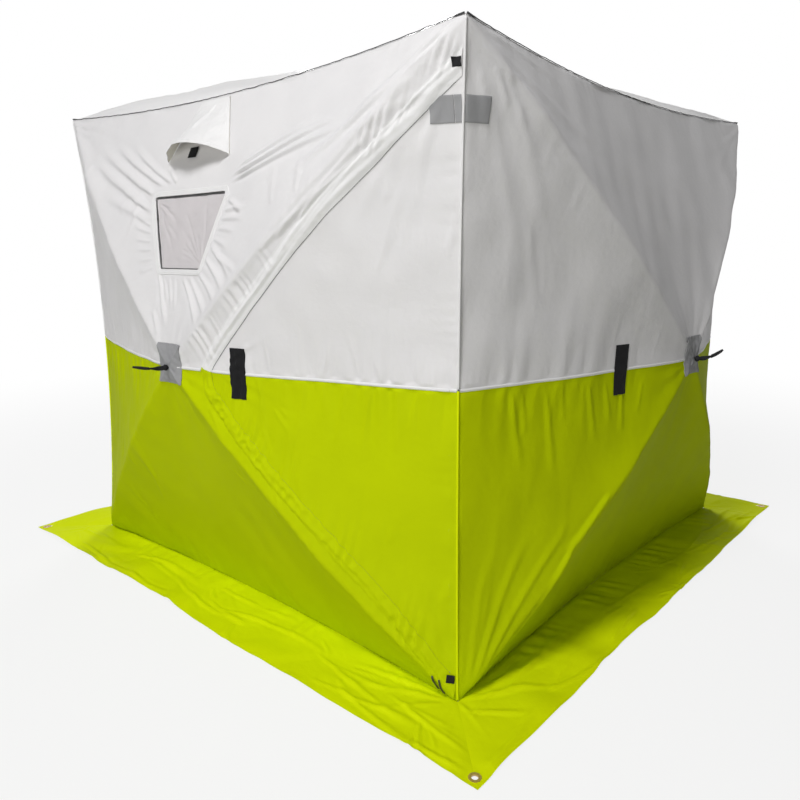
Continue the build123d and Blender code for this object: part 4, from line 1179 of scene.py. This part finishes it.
down = np.concatenate([np.linspace(0, 0.9, 50), np.linspace(0.91, 1, 18)])
u, v = np.meshgrid(0.5 - 0.5 * np.cos(np.linspace(0, math.pi, 140)), down)
hood = grid_object("vent_hood_cloth", hood_place(u, v, 0.0015), FLAP_WHITE, flip=True)
lining = grid_object("vent_hood_lining", hood_place(u, v, 0.0003), LINER)
dress(hood, "vent_hood", "white_cloth")
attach(lining, "hut")

x = vent_x + np.linspace(-0.085, 0.085, 40)[None] + 0 * np.linspace(0, 1, 24)[:, None]
z = vent_z + np.linspace(-0.040, 0.040, 24)[:, None] + 0 * x
dress(grid_object("vent_mesh_cloth", on_wall(0, x, z, -0.0025, 0.0), MESH), "vent_mesh", "mesh")

low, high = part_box("vent_stay")


def stay_place(u, v, lift):
    x, z = low[0] + u * (high[0] - low[0]), low[2] + v * (high[2] - low[2])
    return on_wall(0, x - 0.004 * (1 - v), z, lift + 0.004, 0.0)


stand_in(slab("vent_stay_tab", (stay_place, 8, 8, 0.040, 0.030), 0.002, HOOK), "vent_stay", "black_webbing")


# ---- Patches and straps ----

def wall_rectangle(wall, left, low, wide, tall, lift, puff=0.0, seed=0):
    """Place function of a rectangle on a wall, for slab. puff swells its middle unevenly."""
    def place(u, v, rise):
        x, z = left + u * wide, low + v * tall
        swell = puff * (1 + ripple(x, z, 0.035, seed)) * np.sin(math.pi * u) * np.sin(math.pi * v)
        return on_wall(wall, x, z, lift + rise + swell)
    return place


PATCH_WIDE = 2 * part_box("roof_hub_patch")[1][0]
PATCH_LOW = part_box("wall_hub_patches")[0][2]
PATCH_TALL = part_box("wall_hub_patches")[1][2] - PATCH_LOW


def cross_fold(a, b):
    """The two folds of a hub patch, over the rods that meet under it."""
    cross = np.minimum(np.abs(a - b), np.abs(a + b)) / math.sqrt(2)
    return 0.0022 * dent(cross, 0, 0.004) * smooth(np.hypot(a, b), 0.004, 0.02)


def hub_patch_place(wall):
    """Place function of the patch over a wall's hub, for slab."""
    def place(u, v, rise):
        x, z = (u - 0.5) * PATCH_WIDE, PATCH_LOW + v * PATCH_TALL
        fold = cross_fold(x, z - SEAM)
        fold += 0.0007 * ripple(x, z, 0.030, 820 + wall) * smooth(np.hypot(x, z - SEAM), 0.01, 0.03)
        edge = np.minimum(np.minimum(u, 1 - u) * PATCH_WIDE, np.minimum(v, 1 - v) * PATCH_TALL)
        hem = -0.0009 * dent(edge, 0.006, 0.0012)
        return on_wall(wall, x, z, 0.0012 + rise + fold + hem, 0.15)
    return place


def roof_patch_place(u, v, rise):
    x, y = (u - 0.5) * PATCH_WIDE, (v - 0.5) * PATCH_WIDE
    return on_roof(x, y, 0.0012 + rise + cross_fold(x, y), 0.15)


def join(name, parts):
    """One mesh from several of the same material, all in place."""
    points, faces, base = [], [], 0
    smooth_faces = parts[0].data.polygons[0].use_smooth
    material = parts[0].data.materials[0]
    for part in parts:
        points.append(np.array([v.co for v in part.data.vertices]))
        faces += [tuple(base + i for i in p.vertices) for p in part.data.polygons]
        base += len(points[-1])
        bpy.data.objects.remove(part)
    return mesh_object(name, np.concatenate(points), faces, material, smooth_faces)


for wall, side in enumerate(SIDES):
    patch_grid = (hub_patch_place(wall), 48, 52, PATCH_WIDE, PATCH_TALL)
    slab(f"{side}_hub_patch", patch_grid, 0.0015, GREY)
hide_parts("wall_hub_patches")
roof_patch = slab("roof_hub_patch_cloth", (roof_patch_place, 40, 40, PATCH_WIDE, PATCH_WIDE), 0.0015, GREY)
stand_in(roof_patch, "roof_hub_patch", "grey_patch_cloth")


def ribbon(name, line, width, thick, twist, material, up=(0, 0, 1)):
    """Flat webbing along a line of points, turned by twist radians at each."""
    side, over = beside_and_over(line, up)
    width, thick, twist = each_of(line, width), each_of(line, thick), each_of(line, twist)
    flat = side * np.cos(twist) + over * np.sin(twist)
    deep = over * np.cos(twist) - side * np.sin(twist)
    shape = [
        (-0.5, -0.22), (-0.42, -0.5), (-0.1, -0.44), (0.1, -0.44), (0.42, -0.5), (0.5, -0.22),
        (0.5, 0.22), (0.42, 0.5), (0.1, 0.44), (-0.1, 0.44), (-0.42, 0.5), (-0.5, 0.22),
    ]
    rings = np.stack([line + flat * width * a + deep * thick * b for a, b in shape], 1)
    return closed_rings(name, rings, material)


def pull_strap(name, place, reach, droop, drift):
    """Twisted webbing pull with a knot at the cloth and a folded grip at its end.
    place turns distances out, down and across into points."""

    def line_of(t):
        out, down = -0.010 + t * reach, droop * t ** 2 + 0.004 * np.sin(math.pi * t)
        across = drift * t ** 2 + 0.004 * np.sin(3.0 * t)
        return np.array([place(a, b, c) for a, b, c in zip(out, down, across)])

    def twist_of(t):
        return 0.3 + 2.6 * smooth(t, 0.05, 0.75)

    t = np.linspace(0, 1, 46)
    strap = ribbon(f"{name}_web", line_of(t), 0.0135, 0.0026, twist_of(t), WEBBING)
    t = np.linspace(0.66, 1.0, 16)
    swell = 0.0062 + 0.0022 * np.sin(np.linspace(0, math.pi, 16))
    grip = ribbon(f"{name}_grip", line_of(t), 0.0165, swell, twist_of(t), WEBBING)
    t = np.linspace(0.14, 0.30, 14)
    size = 0.0045 + 0.0050 * np.sin(math.pi * np.linspace(0, 1, 14))
    knot = tube(f"{name}_knot", line_of(t), size, WEBBING, 10, up=(0.02, 0.05, 1))
    return join(name, [strap, grip, knot])


def hub_place(wall):
    """Turns distances out, down and across at a wall's hub into points."""
    def place(out, down, across):
        return turned(wall, across, HALF + BULGE - 0.002 + out, SEAM - down)
    return place


wall_pulls = []
droops, drifts = (-0.002, -0.030, 0.010, 0.006), (-0.052, 0.0, 0.020, -0.015)
for wall, (side, droop, drift) in enumerate(zip(SIDES, droops, drifts)):
    wall_pulls.append(pull_strap(f"{side}_pull_strap", hub_place(wall), 0.090, droop, drift))
    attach(wall_pulls[-1], "hut")
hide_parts("wall_pull_straps")


def roof_place(out, down, across):
    return (across + down, 0.3 * down, TOP + BULGE - 0.002 + out)


roof_pull = pull_strap("roof_pull", roof_place, 0.074, 0.020, 0.0)
dress(roof_pull, "roof_pull_strap", "black_webbing")


def hook_strap(name, node, wall, seed, body):
    """Hook strap on a wall, over its CAD node."""
    low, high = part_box(node)
    wide, tall = high[wall] - low[wall], high[2] - low[2]
    place = wall_rectangle(wall, low[wall], low[2], wide, tall, 0.0009, 0.0012, seed)
    strap = slab(name, (place, 22, 50, 0.05, 0.14), 0.002, HOOK, body)
    stand_in(strap, node, "black_webbing")


def grey_patch(name, node, wall, left, wide, cols, width, body="hut"):
    """Part of the grey patch on the near corner, at the height of a CAD node."""
    low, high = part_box(node)
    place = wall_rectangle(wall, left, low[2], wide, high[2] - low[2], 0.0008)
    return slab(name, (place, cols, 18, width, 0.056), 0.0013, GREY, body)


hook_strap("door_hook_strap", "door_strap", 0, 830, "door")
hook_strap("wall_hook_strap", "wall_strap", 1, 831, "hut")

near = corner_reach(CORNER_PATCH)
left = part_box("door_corner_patch")[0][0] - 0.009
wide = near - STRIP - 0.0006 - left
door_patch = grey_patch("door_grey_patch", "door_corner_patch", 0, left, wide, 16, 0.05, "door_seam")
stand_in(door_patch, "door_corner_patch", "grey_patch_cloth")
left, wide = near - STRIP + 0.0002, STRIP - 0.003
strip_patch = grey_patch("strip_grey_patch", "corner_patch", 0, left, wide, 6, 0.015)
left, wide = -near + 0.003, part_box("corner_patch")[1][1] + near - 0.003
side_patch = grey_patch("side_grey_patch", "corner_patch", 1, left, wide, 20, 0.05)
stand_in(side_patch, "corner_patch", "grey_patch_cloth")

low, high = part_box("zip_end_tabs")
tabs = []
for tab_low in (high[2] - 0.020, low[2]):
    edge = float(corner_reach(tab_low + 0.01)) - 0.003
    place = wall_rectangle(0, edge - 0.020, tab_low, 0.019, 0.020, 0.0050)
    tabs.append(slab(f"zip_tab_{len(tabs)}", (place, 8, 8, 0.019, 0.020), 0.0018, WEBBING))
dress(join("zip_tabs", tabs), "zip_end_tabs", "black_webbing")

pulls = []
tilt = math.radians(-75)
for k, (px, pz) in enumerate(((HALF - 0.054, 0.044), (HALF - 0.038, 0.036))):
    t = np.linspace(-1, 1, 18)
    x, z = px + 0.020 * t * math.cos(tilt), pz + 0.020 * t * math.sin(tilt)
    line = on_wall(0, x, z, 0.0062)
    pulls.append(ribbon(f"zip_pull_{k}", line, 0.006, 0.0022, 0.0, PULL, up=(0, -1, 0.1)))
dress(join("zip_pull_tabs", pulls), "zip_pulls", "black_webbing")


# ---- Piping, binding and the colour seam ----

# The corner piping takes the lighter white and the lighter lime, as a painted highlight down each corner.
for tier, low, high, material, slot_name in (
    ("upper", SEAM, TOP - 0.006, FLAP_WHITE, "white_cloth"),
    ("lower", SKIRT_TOP + 0.004, SEAM, PAINTED_LIT_LIME, "lime_cloth"),
):
    beads = []
    z = np.linspace(low, high, int((high - low) / 0.006))
    reach = corner_reach(z) + 0.0004
    for k, (right, back) in enumerate(((1, -1), (1, 1), (-1, 1), (-1, -1))):
        line = np.stack([right * reach, back * reach, z], 1)
        beads.append(tube(f"bead_{tier}_{k}", line, 0.0030, material))
    dress(join(f"corner_bead_{tier}", beads), f"corner_piping_{tier}", slot_name)

bindings = []
for wall in range(4):
    x = np.linspace(-HALF + 0.004, HALF - 0.004, 300)
    z = eaves_height(x) + 0.0012 + 0.0004 * ripple(x, 0 * x, 0.05, 910 + wall)
    thick = 0.0011 + 0.0012 * smooth(np.abs(x), HALF - 0.05, HALF - 0.01)
    bindings.append(tube(f"binding_{wall}", turned(wall, x, eaves_reach(x) + 0.0012, z), thick, BINDING))
dress(join("eaves_edge_binding", bindings), "eaves_binding", "dark_binding")


def seam_band(name, wall, first, last, body="hut"):
    """Narrow white band sewn along the colour seam."""
    x = np.linspace(first, last, max(8, int((last - first) / 0.005)))
    profile = [(-0.0040, -0.0004), (-0.0036, 0.0013), (0, 0.0019), (0.0036, 0.0013), (0.0040, -0.0004)]
    rows = np.array([on_wall(wall, x, SEAM + dz + 0 * x, lift) for dz, lift in profile])
    carry(grid_object(name, rows, FLAP_WHITE), body)


edge = float(corner_reach(SEAM)) - 0.003
turn_x = float(ZIP[apex][0])
seam_band("front_seam_band", 0, -edge, turn_x - FLAP)
seam_band("door_seam_band", 0, turn_x + 0.003, edge - STRIP, "door_seam")
seam_band("corner_seam_band", 0, edge - STRIP + 0.001, edge)
for wall, side in list(enumerate(SIDES))[1:]:
    seam_band(f"{side}_seam_band", wall, -edge, edge)


# ---- Frame and eyelets keep their CAD shape ----

for node, material in {
    **{f"{side}_rods": ROD for side in SIDES}, "roof_rods": ROD, "wall_hubs": PLASTIC, "roof_hub": PLASTIC,
    "top_sockets": PLASTIC, "foot_sockets": PLASTIC, "skirt_eyelets": BRASS,
}.items():
    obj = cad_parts[node]
    obj.data.materials.clear()
    obj.data.materials.append(material)


# ---- Camera, light and backdrop ----

CAMERA_AT = (1.8451, -2.1828, 1.1232)
camera = bpy.data.objects.new("camera", bpy.data.cameras.new("camera"))
bpy.context.scene.collection.objects.link(camera)
yaw, pitch, roll = -0.7235, -0.2104, -0.006
forward = Vector((math.sin(yaw) * math.cos(pitch), math.cos(yaw) * math.cos(pitch), math.sin(pitch)))
level = forward.cross(Vector((0, 0, 1))).normalized()
above = level.cross(forward)
right = level * math.cos(roll) + above * math.sin(roll)
up = above * math.cos(roll) - level * math.sin(roll)
rows = [(right[k], up[k], -forward[k], CAMERA_AT[k]) for k in range(3)]
camera.matrix_world = Matrix((*rows, (0, 0, 0, 1)))
camera.data.sensor_width = 36
camera.data.lens = 31.73
bpy.context.scene.camera = camera
bpy.context.scene.view_settings.view_transform = "Standard"


def area_light(name, place, height, size, power, color=(1, 1, 1)):
    """Disc of light that looks at the middle of the hut at a height."""
    light = bpy.data.objects.new(name, bpy.data.lights.new(name, "AREA"))
    light.data.shape = "DISK"
    light.data.size = size
    light.data.energy = power
    light.data.color = color
    light.location = place
    light.rotation_euler = (Vector((0, 0, height)) - Vector(place)).to_track_quat("-Z", "Y").to_euler()
    bpy.context.scene.collection.objects.link(light)


area_light("key", (1.10, -3.45, 5.0), 0.8, 1.4, 162)
area_light("fill", (1.7, -5.2, 1.3), 0.8, 1.8, 48)
area_light("low_fill", (3.3, -4.2, 1.0), 0.8, 1.2, 22, (1.0, 1.0, 0.90))
area_light("back", (-3.2, 3.4, 4.2), 1.0, 2.0, 165)


def seen(tree):
    """Socket that is 1 for the camera and for what it sees in reflections or through film, else 0."""
    rays = add_node(tree, "ShaderNodeLightPath")
    first = add_node(tree, "ShaderNodeMath", operation="MAXIMUM")
    second = add_node(tree, "ShaderNodeMath", operation="MAXIMUM")
    tree.links.new(rays.outputs["Is Camera Ray"], first.inputs[0])
    tree.links.new(rays.outputs["Is Glossy Ray"], first.inputs[1])
    tree.links.new(first.outputs[0], second.inputs[0])
    tree.links.new(rays.outputs["Is Transmission Ray"], second.inputs[1])
    return second.outputs[0]


def backdrop_shader(name, hide):
    """White to the camera and in reflections, pale grey to the light. hide is how far the camera's
    white covers the shade near the hut."""
    material, tree, bsdf = shader(name)
    bsdf.inputs["Base Color"].default_value = (0.62, 0.62, 0.62, 1)
    bsdf.inputs["Roughness"].default_value = 0.9
    glow = add_node(tree, "ShaderNodeEmission", Strength=1.0)
    place = add_node(tree, "ShaderNodeNewGeometry")
    away = add_node(tree, "ShaderNodeVectorMath", operation="LENGTH")
    far = add_node(tree, "ShaderNodeMapRange", interpolation_type="SMOOTHSTEP")
    far.inputs["From Min"].default_value = 1.6
    far.inputs["From Max"].default_value = 5.0
    far.inputs["To Min"].default_value = hide
    far.inputs["To Max"].default_value = 1.0
    share = add_node(tree, "ShaderNodeMath", operation="MULTIPLY")
    mix = add_node(tree, "ShaderNodeMixShader")
    link = tree.links.new
    link(place.outputs["Position"], away.inputs[0])
    link(away.outputs["Value"], far.inputs["Value"])
    link(seen(tree), share.inputs[0])
    link(far.outputs["Result"], share.inputs[1])
    link(share.outputs[0], mix.inputs["Fac"])
    link(bsdf.outputs["BSDF"], mix.inputs[1])
    link(glow.outputs["Emission"], mix.inputs[2])
    link(mix.outputs["Shader"], tree.nodes["Material Output"].inputs["Surface"])
    return material


corners = [(30 * x, 30 * y, -0.0004) for x, y in CORNERS]
floor = mesh_object("floor", corners, [(0, 1, 2, 3)], backdrop_shader("floor_white", 0.84), shade=False)

world = bpy.data.worlds.new("studio")
bpy.context.scene.world = world
world.use_nodes = True
tree = world.node_tree
background = tree.nodes["Background"]
tone = add_node(tree, "ShaderNodeMapRange")
tone.inputs["To Min"].default_value = 0.015
tone.inputs["To Max"].default_value = 1.0
tree.links.new(seen(tree), tone.inputs["Value"])
tree.links.new(tone.outputs["Result"], background.inputs["Strength"])
background.inputs["Color"].default_value = (1, 1, 1, 1)
